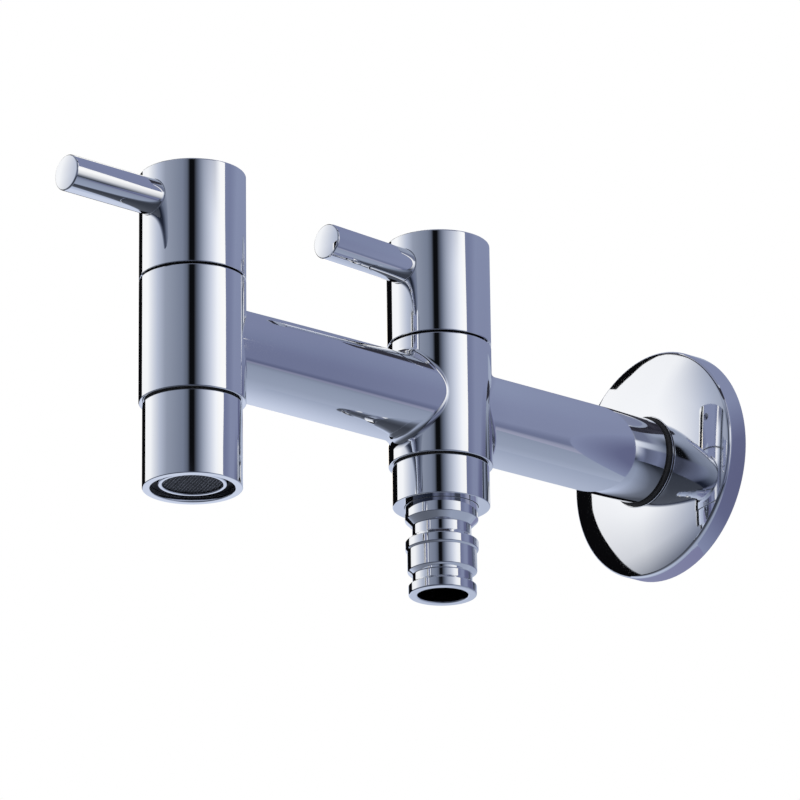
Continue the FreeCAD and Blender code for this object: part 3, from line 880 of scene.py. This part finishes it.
def build_rod(column):
    """A lever rod with a slightly domed end."""
    s = sizes()
    radius, dome = s.rod_radius, s.rod_dome
    foot, tip = 11.6 * MM, 45.1 * MM
    dome_steps = 12
    bow = (radius ** 2 + dome ** 2) / (2 * dome)
    outline = [(0.0, tip, CRISP)]
    for i in range(1, dome_steps):
        r = radius * i / dome_steps
        outline.append((r, tip - (bow - math.sqrt(bow ** 2 - r ** 2)), CRISP))
    outline += [(radius, tip - dome, s.rod_edge), (radius, foot, 0.3 * MM), (0.0, foot, CRISP)]
    rod = turned_piece(column + "_rod", outline, steps=128, closed=False)
    set_place(rod, turn=(QUARTER, 0, 0))
    set_place(rod, turn=(0, 0, LEVER_ANGLE[column]))
    return set_place(rod, move=(0, COLUMN_Y[column], ROD_HEIGHT))


# Spout
WEAVE_TURN = math.radians(-19.7)


def build_sleeve():
    """The plain sleeve under the front column."""
    edge = sizes().sleeve_edge
    low, high = span("spout_sleeve", 2)
    radius = half_width("spout_sleeve")
    mouth, web = 11.8275 * MM, 9.0275 * MM
    web_low, web_high = -27.5 * MM, -25.9 * MM
    sleeve = turned_piece("sleeve", [
        (THREADED_BORE, high, 0.2 * MM), (radius, high, edge), (radius, low, edge),
        (mouth, low, edge), (mouth, web_low, CRISP), (web, web_low, CRISP),
        (web, web_high, CRISP), (THREADED_BORE, web_high, CRISP)])
    return set_place(sleeve, move=(0, FRONT_Y, 0))


def build_aerator_shell():
    """The black moulding in the spout's mouth, with its rounded lip."""
    low, high = span("aerator_housing", 2)
    outer = half_width("aerator_housing")
    lip, bore = 9.7775 * MM, 10.1275 * MM
    step = low + 1.2 * MM
    shell = turned_piece("aerator_shell", [
        (outer, low, 0.2 * MM), (outer, high, CRISP), (bore, high, CRISP),
        (bore, step, CRISP), (lip, step, CRISP), (lip, low, 0.3 * MM)])
    return set_place(shell, move=(0, FRONT_Y, 0))


def build_aerator_rim():
    """The bright ring that holds the screen."""
    low, high = span("aerator_ring", 2)
    outer, wall, inner = 9.6775 * MM, 9.1775 * MM, 8.4275 * MM
    step = low + 0.5 * MM
    rim = turned_piece("aerator_rim", [
        (inner, low, 0.3 * MM), (outer, low, 0.45 * MM), (outer, high, CRISP),
        (wall, high, CRISP), (wall, step, CRISP), (inner, step, 0.1 * MM)])
    return set_place(rim, move=(0, FRONT_Y, 0))


def wire_rows(reach, place, lift, along_x, first_up):
    """Rows of one wire of the screen: a thin flat tube that passes over and under."""
    pitch = sizes().weave_pitch
    half_wide, half_thick, swing = 0.035 * MM, 0.022 * MM, 0.026 * MM
    sides = 6
    steps = max(4, int(round(2 * reach / (pitch / 2))))
    rows = []
    for along in spread(-reach, reach, steps):
        height = lift + swing * math.cos(math.pi * along / pitch + (math.pi if first_up else 0.0))
        row = []
        for angle in spread(0.0, 2 * math.pi, sides):
            a = place + half_wide * math.cos(angle)
            b = height + half_thick * math.sin(angle)
            row.append(Vector((along, a, b)) if along_x else Vector((a, along, b)))
        rows.append(row)
    return rows


def build_weave():
    """The woven screen over the spout's mouth, with a finer screen behind it whose black is painted shade inside
    the aerator.
    """
    low, high = span("aerator_screen", 2)
    radius = half_width("aerator_screen") - 0.05 * MM
    middle = low + 0.10 * MM
    back = high - 0.08 * MM
    pitch = sizes().weave_pitch
    count = int(radius / pitch)
    wires = []
    for along_x in (True, False):
        for i in range(-count, count + 1):
            place = i * pitch
            reach = math.sqrt(max(0.0, radius ** 2 - place ** 2)) - 0.1 * MM
            if reach >= pitch:
                first_up = (i % 2 == 0) == along_x
                wires.append(laid_grid("wire", wire_rows(reach, place, middle, along_x, first_up)))
    weave = joined("aerator_weave", wires)
    close_and_smooth(weave, angle=80.0, gap=TIGHT_SEAM)
    weave.data.materials.append(MATERIALS["screen_mesh"])
    # A finer screen behind the wires, its black a painted shade inside the aerator.
    backing = turned_piece("weave_backing", [
        (0.0, back, CRISP), (radius, back, 0.03 * MM), (radius, high, CRISP),
        (0.0, high, CRISP)], steps=96, closed=False)
    backing.data.materials.append(MATERIALS["fine_screen_and_shade"])
    weave = joined("aerator_weave", [weave, backing])
    set_place(weave, turn=(0, 0, WEAVE_TURN))
    return set_place(weave, move=(0, FRONT_Y, 0))


# Hose outlet
NOZZLE_TOP, NOZZLE_FOOT = -25.1, -56.5
# The nozzle's outside from its top down, as (radius, height, rounding) in millimetres.
NOZZLE_STEPS = [
    (9.6, NOZZLE_TOP, 0.2), (9.6, -30.1, 0.0), (10.5, -30.1, 0.1), (10.5, -34.1, 0.3),
    (8.45, -36.1, 0.4), (8.45, -39.1, 0.3), (10.45, -40.6, 0.35), (10.45, -43.0, 0.35),
    (9.95, -43.5, 0.15), (9.95, -49.5, 0.35), (8.55, -50.6, 0.35), (8.55, -53.0, 0.3),
    (9.75, -53.7, 0.3), (9.75, NOZZLE_FOOT, 0.45),
]


def build_collar():
    """The smooth collar under the middle column."""
    edge = sizes().sleeve_edge
    low, high = span("hose_collar", 2)
    radius = half_width("hose_collar")
    collar = turned_piece("collar", [
        (THREADED_BORE, high, 0.2 * MM), (radius, high, edge), (radius, low, edge),
        (THREADED_BORE, low, 0.25 * MM)])
    return set_place(collar, move=(0, MIDDLE_Y, 0))


def build_nozzle():
    """The stepped nozzle on which a hose connector is pushed."""
    bore = sizes().outlet_bore
    outline = [(bore, NOZZLE_TOP * MM, 0.2 * MM)]
    outline += [(r * MM, z * MM, edge * MM) for r, z, edge in NOZZLE_STEPS]
    outline.append((bore, NOZZLE_FOOT * MM, 0.45 * MM))
    return set_place(turned_piece("nozzle", outline), move=(0, MIDDLE_Y, 0))


# Studio
WHITE = (1.0, 1.0, 1.0)
BLACK = (0.002, 0.002, 0.0025)
LAVENDER = (0.170, 0.193, 0.322)
BASE_BEARING = math.radians(-38.9)
TENT_CENTRE = Vector((0.0, -0.10, 0.0))
TENT_RADIUS = 0.62
LINING_RADIUS = TENT_RADIUS - 0.01
TENT_FLOOR = -0.27
TENT_TOP = 1.5
BOARD_DEPTH = 0.03
BOARD_SLANT = 0.5774             # fall of the wall board's lower edge to the right
BOARD_HEM = 0.03
PAPER_HEIGHT = -1.15
FLAG_FAR = 150.0
CANOPY_SPAN = (-14.0, 346.0)
CANOPY_HEIGHTS = (0.76, 1.25)

CAMERA_PLACE = Vector((1.2180, -1.1133, -0.5620))
CAMERA_TURNS = (50.3226, 19.531, -0.6919)    # yaw, pitch and roll in degrees
FOCAL_LENGTH = 5869.83 / 800.0               # in widths of the picture
SENSOR = 36.0

# The lamps as (name, place, size in metres, power in watts).
SOFT_LAMPS = [
    ("key_lamp", (0.9, -1.3, 1.2), 1.2, 16.0),
    ("fill_lamp", (-1.1, -1.2, 0.2), 1.4, 7.0),
    ("low_lamp", (0.7, -1.0, -0.55), 0.9, 5.0),
]


def cool(brightness, coolness=1.0):
    """A grey of that brightness that leans to blue, as the cloth of the tent does."""
    return tuple(min(1.0, brightness * lean)
                 for lean in (1 - 0.11 * coolness, 1.0, 1 + 0.28 * coolness))


# What hangs round the tap, as (angle from the camera's line in degrees, brightness, coolness).
TENT_PANELS = [
    (-178, 1.00, 0.0),       # white cloth on the left
    (-106, 0.98, 0.1),
    (-76, 0.54, 0.8),        # its far end, in half shade
    (-58, 0.335, 1.0),
    (-22, 0.22, 1.3),        # grey cloth beside the camera
    (-13, 0.135, 1.4),
    (-8, 0.004, 1.0),        # the gap for the camera
    (1, 0.004, 1.0),
    (10, 0.155, 1.4),        # grey cloth on the camera's other side
    (22, 0.40, 0.9),
    (36, 0.66, 0.6),
    (52, 0.95, 0.2),         # white cloth on the right
    (62, 1.00, 0.0),
]

# How far the cloth's light falls off towards the floor and the top, as (height in metres, share).
TENT_FALL = [
    (-0.27, 0.05), (-0.22, 0.06), (-0.17, 0.19), (-0.13, 0.31), (-0.10, 0.42),
    (-0.02, 0.70), (0.05, 0.80), (0.15, 0.94), (0.21, 1.0), (0.68, 0.95), (1.35, 0.85),
]

# Soft cloths hung in the tent, each as its cover by bearing in degrees, its cover by height in
# metres, its tone, and its folds as (bearing, share of the tone).
EVEN = [(0.0, 1.0), (180.0, 1.0)]
HUNG_CLOTHS = [
    # high up in front
    ([(222.0, 0), (250.0, 1), (346.0, 1), (366.0, 0)], [(0.38, 0), (0.66, 1)],
     cool(0.34, 1.1), EVEN),
    # low down on the right
    ([(292.0, 0), (306.0, 1), (354.0, 1), (366.0, 0)], [(0.10, 1), (0.15, 0)],
     (0.10, 0.115, 0.18),
     [(292.0, 2.4), (304.0, 1.1), (317.0, 0.45), (325.0, 0.5), (338.0, 1.7), (352.0, 1.1),
      (366.0, 3.0)]),
    # to the right of the lens
    ([(326.0, 0), (344.0, 1), (364.0, 1), (376.0, 0)],
     [(0.27, 0), (0.34, 1), (0.75, 1), (0.9, 0)], (0.16, 0.18, 0.27), EVEN),
]

# Near edge of the dark flag as (height in metres, bearing about the tent's middle in degrees).
FLAG_EDGE = [
    (-0.27, 222.0), (-0.122, 212.2), (-0.076, 208.0), (-0.026, 204.5), (0.013, 202.2),
    (0.056, 199.6), (0.093, 197.0), (0.127, 194.8), (0.150, 193.5), (0.32, 193.5),
    (0.345, 176.0), (0.415, 176.0), (0.432, 186.5), (0.49, 191.9), (0.553, 195.2),
    (0.624, 201.6), (0.655, 207.0), (0.671, 212.5), (0.680, 225.8), (0.690, 232.0),
    (0.77, 236.0),
]


def maths(tree, operation, first, second=None):
    """One sum of two values, each a socket or a number."""
    node = tree.nodes.new("ShaderNodeMath")
    node.operation = operation
    for i, value in enumerate((first, second)):
        if value is None:
            continue
        if isinstance(value, (int, float)):
            node.inputs[i].default_value = value
        else:
            tree.links.new(value, node.inputs[i])
    return node.outputs[0]


def vector_maths(tree, operation, vector, other):
    """One sum of a vector socket and a fixed vector."""
    node = tree.nodes.new("ShaderNodeVectorMath")
    node.operation = operation
    node.inputs[1].default_value = other
    tree.links.new(vector, node.inputs[0])
    return node.outputs


def axes(tree, vector):
    """The X, Y and Z of a vector."""
    split = tree.nodes.new("ShaderNodeSeparateXYZ")
    tree.links.new(vector, split.inputs[0])
    return split.outputs[0], split.outputs[1], split.outputs[2]


def mixed(tree, blend, first, second, cover=None):
    """One colour blended with another, as far as the cover goes."""
    mix = tree.nodes.new("ShaderNodeMix")
    mix.data_type = "RGBA"
    mix.blend_type = blend
    mix.inputs["Factor"].default_value = 1.0
    if cover:
        tree.links.new(cover, mix.inputs["Factor"])
    tree.links.new(first, mix.inputs["A"])
    tree.links.new(second, mix.inputs["B"])
    return mix.outputs["Result"]


def multiplied(tree, first, second):
    """One colour multiplied by another."""
    return mixed(tree, "MULTIPLY", first, second)


def hang(card, paint):
    """Finishes a studio card in the colours that paint puts on it.

    Only shiny surfaces see it, and it casts no light or shadow of its own."""
    material, tree, glow, place = new_material(card.name + "_glow", "ShaderNodeEmission")
    tree.links.new(paint(tree, place), glow.inputs["Color"])
    card.data.materials.append(material)
    card.visible_camera = False
    card.visible_diffuse = False
    card.visible_shadow = False
    card.visible_transmission = False


def cloudy(scale, low, high):
    """Paint of two tones in soft clouds, each tone as (place on the pattern, colour)."""
    return lambda tree, place: ramp(tree, noise(tree, place, scale, 1.0), [low, high])


def away_from(point, radius, stops):
    """Paint that changes with the distance from a point, out to that radius."""
    return lambda tree, place: graded(
        tree, vector_maths(tree, "DISTANCE", place, point)["Value"], 0.0, radius, stops)


def flat_card(name, corners):
    """A flat stage card of any number of corners."""
    start_alone()
    bpy.ops.mesh.primitive_circle_add(vertices=len(corners), radius=1.0, fill_type="NGON")
    card = bpy.context.object
    card.name = name
    card.data.vertices.foreach_set("co", [c for corner in corners for c in corner])
    card.data.update()
    return card


def on_tent(bearing, height, radius=LINING_RADIUS):
    """A point on the tent's lining, or on another round wall about the tent's middle."""
    angle = math.radians(bearing)
    return TENT_CENTRE + Vector((radius * math.cos(angle), radius * math.sin(angle), height))


def tent_bearing(delta):
    """Bearing about the tent's middle of what the columns mirror at that angle.

    The angle is counted from the line to the camera, as seen from between the columns."""
    view_from = Vector((0.0, (FRONT_Y + MIDDLE_Y) / 2, 0.0))
    bearing = BASE_BEARING + math.radians(delta)
    ray = Vector((math.cos(bearing), math.sin(bearing), 0.0))
    offset = view_from - TENT_CENTRE
    b = offset.dot(ray)
    c = offset.length_squared - TENT_RADIUS ** 2
    hit = offset + ray * (-b + math.sqrt(b * b - c))
    return math.degrees(math.atan2(hit.y, hit.x)) % 360.0


def build_tent_wall():
    """The round wall of the light tent, with its panels, its gaps and the cloths in it."""
    start = math.radians(tent_bearing(TENT_PANELS[0][0]))

    def round_share(bearing):
        """Share of the way round the tent from the first panel to that bearing."""
        return ((math.radians(bearing) - start) / (2 * math.pi)) % 1.0

    def up_share(height):
        """Share of the way up the tent."""
        return (height - TENT_FLOOR) / (TENT_TOP - TENT_FLOOR)

    def paint(tree, place):
        """The panels with their light's fall, and the hung cloths over them."""
        x, y, z = axes(tree, vector_maths(tree, "SUBTRACT", place, TENT_CENTRE)[0])
        turn = maths(tree, "SUBTRACT", maths(tree, "ARCTAN2", y, x), start)
        turn = maths(tree, "FRACT", maths(tree, "DIVIDE", turn, 2 * math.pi))
        rise = mapped(tree, z, 0.0, 1.0, TENT_FLOOR, TENT_TOP)

        def round_tent(colour, shares):
            """Shares of one colour round the tent."""
            return ramp(tree, turn, sorted((round_share(b), tinted(colour, v)) for b, v in shares))

        panels = [(round_share(tent_bearing(delta)), cool(brightness, coolness))
                  for delta, brightness, coolness in TENT_PANELS]
        fall = [(up_share(height), (part ** 1.05, part, part ** 0.88))
                for height, part in TENT_FALL]
        look = multiplied(tree, ramp(tree, turn, panels + [(0.97, WHITE), (0.985, BLACK)]),
                          ramp(tree, rise, fall))
        for sides, ends, tone, folds in HUNG_CLOTHS:
            levels = ramp(tree, rise, [(up_share(height), tinted(WHITE, v)) for height, v in ends])
            cover = multiplied(tree, round_tent(WHITE, sides), levels)
            look = mixed(tree, "MIX", look, round_tent(tone, folds), cover)
        return look

    rows = [[on_tent(bearing, z, TENT_RADIUS) for bearing in spread(0.0, 360.0, 128)]
            for z in (TENT_FLOOR, 0.0, TENT_TOP)]
    hang(laid_grid("tent_wall", rows), paint)


def build_flag():
    """The dark flag on the left, whose near edge leans."""
    rows = [[on_tent(bearing, z) for bearing in spread(FLAG_FAR, near, 24)]
            for z, near in FLAG_EDGE]
    hang(laid_grid("dark_flag", rows), cloudy(3.0, (0.3, BLACK), (0.7, tinted(BLACK, 1.5))))


def build_canopy():
    """The dark cloth that hangs all round, high up."""
    rows = [[on_tent(bearing, z) for bearing in spread(*CANOPY_SPAN, 96)] for z in CANOPY_HEIGHTS]
    hang(laid_grid("dark_canopy", rows),
         cloudy(3.0, (0.3, (0.02, 0.02, 0.03)), (0.7, (0.05, 0.05, 0.07))))


def build_tent_ends():
    """The tent's cool floor, dark in front and brighter on the left, and its lavender top."""
    def paint(tree, place):
        """The floor's cool tones from right to left, darker towards the front."""
        x, y, _ = axes(tree, place)
        across = graded(tree, x, 0.55, -0.40, [
            (0.0, cool(0.12, 1.6)), (0.28, cool(0.30, 1.3)), (0.5, cool(0.35, 1.2)),
            (0.8, cool(0.56)), (1.0, cool(0.60))])
        front = graded(tree, y, -0.28, -0.06, [
            (0.0, tinted(WHITE, 0.15)), (0.5, tinted(WHITE, 0.36)), (1.0, WHITE)])
        return multiplied(tree, across, front)

    lavender = cloudy(1.5, (0.2, (0.19, 0.215, 0.33)), (0.8, (0.24, 0.265, 0.38)))
    ends = (("tent_floor", TENT_FLOOR, paint), ("tent_top", TENT_TOP, lavender))
    for name, height, colours in ends:
        circle = [on_tent(bearing, height, TENT_RADIUS) for bearing in spread(0.0, 360.0, 96)[:-1]]
        hang(flat_card(name, circle), colours)


def build_wall_board():
    """The lavender board behind the tap, with a soft slanted lower edge."""
    left, right, top = -0.52, 0.295, 0.60
    corners = [(right, -BOARD_SLANT * right - BOARD_HEM), (right, 0.085), (0.275, 0.095),
               (0.275, 0.13), (right, 0.17), (right, top), (left, top), (left, 0.02),
               (0.0, 0.0), (0.0, -BOARD_HEM)]

    def at(x):
        """Share of the way across the board."""
        return (x - left) / (right - left)

    def paint(tree, place):
        """The board's panels, its lower edge, and its light by height and distance."""
        x, _, z = axes(tree, place)
        panels = graded(tree, x, left, right, [
            (at(-0.268), BLACK), (at(-0.262), WHITE), (at(-0.19), WHITE), (at(-0.184), LAVENDER),
            (1.0, LAVENDER)])
        above = maths(tree, "ADD", z, maths(tree, "MULTIPLY", x, BOARD_SLANT))
        line = graded(tree, above, -BOARD_HEM, 0.05, [
            (0.0, (1.55, 1.42, 1.25)), (0.20, (1.30, 1.22, 1.10)), (0.36, (0.70, 0.71, 0.74)),
            (0.52, (0.72, 0.73, 0.77)), (0.90, WHITE)])
        lift = graded(tree, z, 0.0, 0.25, [
            (0.0, tinted(WHITE, 0.95)), (0.25, tinted(WHITE, 0.98)), (0.62, (1.10, 1.12, 1.08)),
            (1.0, (1.2, 1.2, 1.15))])
        near = away_from((0.0, BOARD_DEPTH, 0.0), 0.26, [
            (0.55, (1.36, 1.36, 1.26)), (0.73, (1.14, 1.14, 1.10)), (0.92, WHITE)])(tree, place)
        return multiplied(tree, multiplied(tree, panels, line), multiplied(tree, lift, near))

    hang(flat_card("wall_board", [(x, BOARD_DEPTH, z) for x, z in corners]), paint)


def build_low_board():
    """The pale board low down on the left, behind the tap, brighter further out."""
    left, top = -0.52, 0.055
    depth = BOARD_DEPTH - 0.0005
    corners = [(0.0, TENT_FLOOR), (0.0, top), (left, top), (left, TENT_FLOOR)]
    hang(flat_card("low_board", [(x, depth, z) for x, z in corners]),
         lambda tree, place: graded(tree, axes(tree, place)[0], 0.0, -0.25, [
             (0.0, cool(0.38, 1.2)), (0.8, cool(0.60, 0.9)), (1.0, cool(0.66, 0.8))]))


def build_plate_shade():
    """The dark patch beside the cover plate, which its rim and the parts next to it mirror."""
    middle = Vector((0.045, BOARD_DEPTH - 0.0015, -0.015))
    radius = 0.062
    ring = [middle + Vector((radius * math.cos(a), 0, radius * math.sin(a)))
            for a in spread(0.0, 2 * math.pi, 48)[:-1]]
    hang(flat_card("plate_shade", ring), away_from(middle, radius, [
        (0.0, (0.105, 0.110, 0.205)), (0.6, (0.125, 0.138, 0.25)), (1.0, (0.225, 0.257, 0.40))]))


def build_rim_shade():
    """The lavender patch under the cover plate, which the lower side of its rim mirrors."""
    depth = BOARD_DEPTH - 0.001
    radius = 0.071
    arc = [math.radians(bearing) for bearing in spread(-163.0, -17.0, 40)]
    hang(flat_card("rim_shade", [(radius * math.cos(a), depth, radius * math.sin(a)) for a in arc]),
         away_from((0.045, depth, -0.015), 0.12, [
             (0.0, (0.125, 0.138, 0.25)), (0.5, (0.20, 0.205, 0.35)), (1.0, (0.27, 0.29, 0.44))]))


def looked_at(tree):
    """1 for what the eye, a mirror or glass shows, and 0 for the light that falls on things."""
    path = tree.nodes.new("ShaderNodeLightPath")
    seen = maths(tree, "MAXIMUM", path.outputs["Is Camera Ray"], path.outputs["Is Glossy Ray"])
    return maths(tree, "MAXIMUM", seen, path.outputs["Is Transmission Ray"])


def build_world():
    """A soft plain world that is white to the eye and to mirrors."""
    world = bpy.data.worlds.new("studio_world")
    bpy.context.scene.world = world
    world.use_nodes = True
    tree = world.node_tree
    tree.nodes.clear()
    output = tree.nodes.new("ShaderNodeOutputWorld")
    mix = tree.nodes.new("ShaderNodeMixShader")
    tree.links.new(looked_at(tree), mix.inputs["Fac"])
    for i, strength in ((1, 0.55), (2, 1.0)):
        sky = tree.nodes.new("ShaderNodeBackground")
        sky.inputs["Color"].default_value = (*WHITE, 1.0)
        sky.inputs["Strength"].default_value = strength
        tree.links.new(sky.outputs[0], mix.inputs[i])
    tree.links.new(mix.outputs[0], output.inputs["Surface"])


def soft_lamp(name, place, size, power):
    """A large soft lamp that lights the dull surfaces."""
    data = bpy.data.lights.new(name, "AREA")
    data.shape = "SQUARE"
    data.size = size
    data.energy = power
    lamp = bpy.data.objects.new(name, data)
    bpy.context.scene.collection.objects.link(lamp)
    lamp.location = place
    lamp.rotation_euler = (TENT_CENTRE - Vector(place)).to_track_quat("-Z", "Y").to_euler()
    lamp.visible_glossy = False
    lamp.visible_camera = False


def build_floor():
    """The plain pale floor, below the camera, which keeps the tap's shadow."""
    start_alone()
    bpy.ops.mesh.primitive_grid_add(x_subdivisions=8, y_subdivisions=8, size=12.0,
                                    location=(0, 0, PAPER_HEIGHT))
    floor = bpy.context.object
    floor.name = "studio_floor"
    set_place(floor)
    material, tree, shader, place = new_material("studio_floor_paper", "ShaderNodeBsdfPrincipled")
    cloud = noise(tree, place, 1.2, 3.0)
    tone = ramp(tree, cloud, [(0.3, (0.86, 0.86, 0.865)), (0.7, (0.90, 0.90, 0.90))])
    tree.links.new(tone, shader.inputs["Base Color"])
    tree.links.new(mapped(tree, cloud, 0.75, 0.9), shader.inputs["Roughness"])
    # The paper is pale to the eye and in mirrors, without more light on the tap.
    shader.inputs["Emission Color"].default_value = (*WHITE, 1.0)
    tree.links.new(mapped(tree, looked_at(tree), 0.0, 0.36), shader.inputs["Emission Strength"])
    floor.data.materials.append(material)


def build_camera():
    """The camera where the photograph was taken from, looking up at the tap."""
    yaw, pitch, roll = [math.radians(angle) for angle in CAMERA_TURNS]
    ahead = Vector((-math.sin(yaw) * math.cos(pitch), math.cos(yaw) * math.cos(pitch),
                    math.sin(pitch)))
    right = Vector((math.cos(yaw), math.sin(yaw), 0.0))
    up = right.cross(ahead)
    right_rolled = math.cos(roll) * right + math.sin(roll) * up
    up_rolled = -math.sin(roll) * right + math.cos(roll) * up
    data = bpy.data.cameras.new("studio_camera")
    data.sensor_width = SENSOR
    data.lens = FOCAL_LENGTH * SENSOR
    data.clip_start = 0.05
    data.clip_end = 50.0
    camera = bpy.data.objects.new("studio_camera", data)
    bpy.context.scene.collection.objects.link(camera)
    basis = Matrix((right_rolled, up_rolled, -ahead)).transposed().to_4x4()
    camera.matrix_world = Matrix.Translation(CAMERA_PLACE) @ basis
    bpy.context.scene.camera = camera


# Operators
class PieceOperator:
    """What all operators here share."""

    bl_options = {"REGISTER", "UNDO"}


class TAP_OT_body(PieceOperator, bpy.types.Operator):
    """Builds the cast body with its pipe, columns and threaded inlet"""

    bl_idname = "tap.body"
    bl_label = "Body"

    def execute(self, context):
        finish_piece(build_body(), "root", "chrome_plate", "valve_body")
        return {"FINISHED"}


class TAP_OT_cover_plate(PieceOperator, bpy.types.Operator):
    """Builds the domed cover plate at the wall"""

    bl_idname = "tap.cover_plate"
    bl_label = "Cover plate"

    def execute(self, context):
        finish_piece(build_cover_plate(), "root", "rosette_plate", "wall_rosette")
        return {"FINISHED"}


class TAP_OT_seals(PieceOperator, bpy.types.Operator):
    """Builds the seals that show as dark lines"""

    bl_idname = "tap.seals"
    bl_label = "Seals"

    def execute(self, context):
        finish_piece(build_pipe_seal(), "root", "rubber", "rosette_seal_ring")
        for name, node, y in (("sleeve_seal", "spout_gasket", FRONT_Y),
                              ("collar_seal", "collar_gasket", MIDDLE_Y)):
            finish_piece(build_gasket(name, node, y), "root", "rubber", node)
        return {"FINISHED"}


class TAP_OT_caps(PieceOperator, bpy.types.Operator):
    """Builds the two lever caps"""

    bl_idname = "tap.caps"
    bl_label = "Lever caps"

    def execute(self, context):
        for column in COLUMN_Y:
            body = column + "_lever"
            finish_piece(build_cap(column), body, "chrome_plate", body + "_cap")
        return {"FINISHED"}


class TAP_OT_rods(PieceOperator, bpy.types.Operator):
    """Builds the two lever rods"""

    bl_idname = "tap.rods"
    bl_label = "Lever rods"

    def execute(self, context):
        for column in COLUMN_Y:
            body = column + "_lever"
            finish_piece(build_rod(column), body, "chrome_plate", body + "_rod")
        return {"FINISHED"}


class TAP_OT_spout(PieceOperator, bpy.types.Operator):
    """Builds the sleeve and the aerator in its mouth"""

    bl_idname = "tap.spout"
    bl_label = "Spout"

    def execute(self, context):
        finish_piece(build_sleeve(), "root", "chrome_plate", "spout_sleeve")
        finish_piece(build_aerator_shell(), "root", "aerator_plastic", "aerator_housing")
        finish_piece(build_aerator_rim(), "root", "bright_ring", "aerator_ring")
        finish_piece(build_weave(), "root", "screen_mesh", "aerator_screen")
        return {"FINISHED"}


class TAP_OT_hose_outlet(PieceOperator, bpy.types.Operator):
    """Builds the collar and the stepped hose nozzle"""

    bl_idname = "tap.hose_outlet"
    bl_label = "Hose outlet"

    def execute(self, context):
        finish_piece(build_collar(), "root", "chrome_plate", "hose_collar")
        finish_piece(build_nozzle(), "root", "chrome_plate", "hose_nozzle")
        return {"FINISHED"}


class TAP_OT_inner_parts(PieceOperator, bpy.types.Operator):
    """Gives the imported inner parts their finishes"""

    bl_idname = "tap.inner_parts"
    bl_label = "Inner parts"

    def execute(self, context):
        slots = {part["node"]: part["material_slot"] for part in frame["record"]["subparts"]}
        for name, node in frame["nodes"].items():
            node.data.materials.clear()
            node.data.materials.append(MATERIALS[slots[name]])
        return {"FINISHED"}


class TAP_OT_stage(PieceOperator, bpy.types.Operator):
    """Sets up the floor, the light tent, the lamps and the camera"""

    bl_idname = "tap.stage"
    bl_label = "Studio"

    def execute(self, context):
        context.scene.view_settings.view_transform = "Standard"
        for build in (build_camera, build_world, build_floor, build_tent_wall, build_tent_ends,
                      build_wall_board, build_low_board, build_plate_shade, build_rim_shade,
                      build_canopy, build_flag):
            build()
        for lamp in SOFT_LAMPS:
            soft_lamp(*lamp)
        return {"FINISHED"}


OPERATORS = [TAP_OT_body, TAP_OT_cover_plate, TAP_OT_seals, TAP_OT_caps, TAP_OT_rods,
             TAP_OT_spout, TAP_OT_hose_outlet, TAP_OT_inner_parts, TAP_OT_stage]


class TAP_PT_panel(bpy.types.Panel):
    """Lists the tap's sizes, finishes and building steps"""

    bl_idname = "TAP_PT_panel"
    bl_label = "Wall tap"
    bl_space_type = "VIEW_3D"
    bl_region_type = "UI"
    bl_category = "Tap"

    def draw(self, context):
        layout = self.layout
        scene = context.scene
        for group, title in ((scene.tap_sizes, "Sizes"), (scene.tap_finishes, "Finishes")):
            box = layout.box()
            box.label(text=title)
            for name in group.__annotations__:
                box.prop(group, name)
        for operator in OPERATORS:
            layout.operator(operator.bl_idname)


CLASSES = [TapSizes, TapFinishes, *OPERATORS, TAP_PT_panel]


def register():
    """Adds the classes and the two groups of settings."""
    for cls in CLASSES:
        bpy.utils.register_class(cls)
    bpy.types.Scene.tap_sizes = bpy.props.PointerProperty(type=TapSizes)
    bpy.types.Scene.tap_finishes = bpy.props.PointerProperty(type=TapFinishes)


def unregister():
    """Takes them out again."""
    del bpy.types.Scene.tap_finishes
    del bpy.types.Scene.tap_sizes
    for cls in reversed(CLASSES):
        bpy.utils.unregister_class(cls)


def main():
    """Builds everything in order."""
    register()
    mix_materials()
    bpy.ops.tap.inner_parts()
    bpy.ops.tap.body()
    bpy.ops.tap.cover_plate()
    bpy.ops.tap.seals()
    bpy.ops.tap.caps()
    bpy.ops.tap.rods()
    bpy.ops.tap.spout()
    bpy.ops.tap.hose_outlet()
    bpy.ops.tap.stage()


if __name__ == "__main__":
    main()
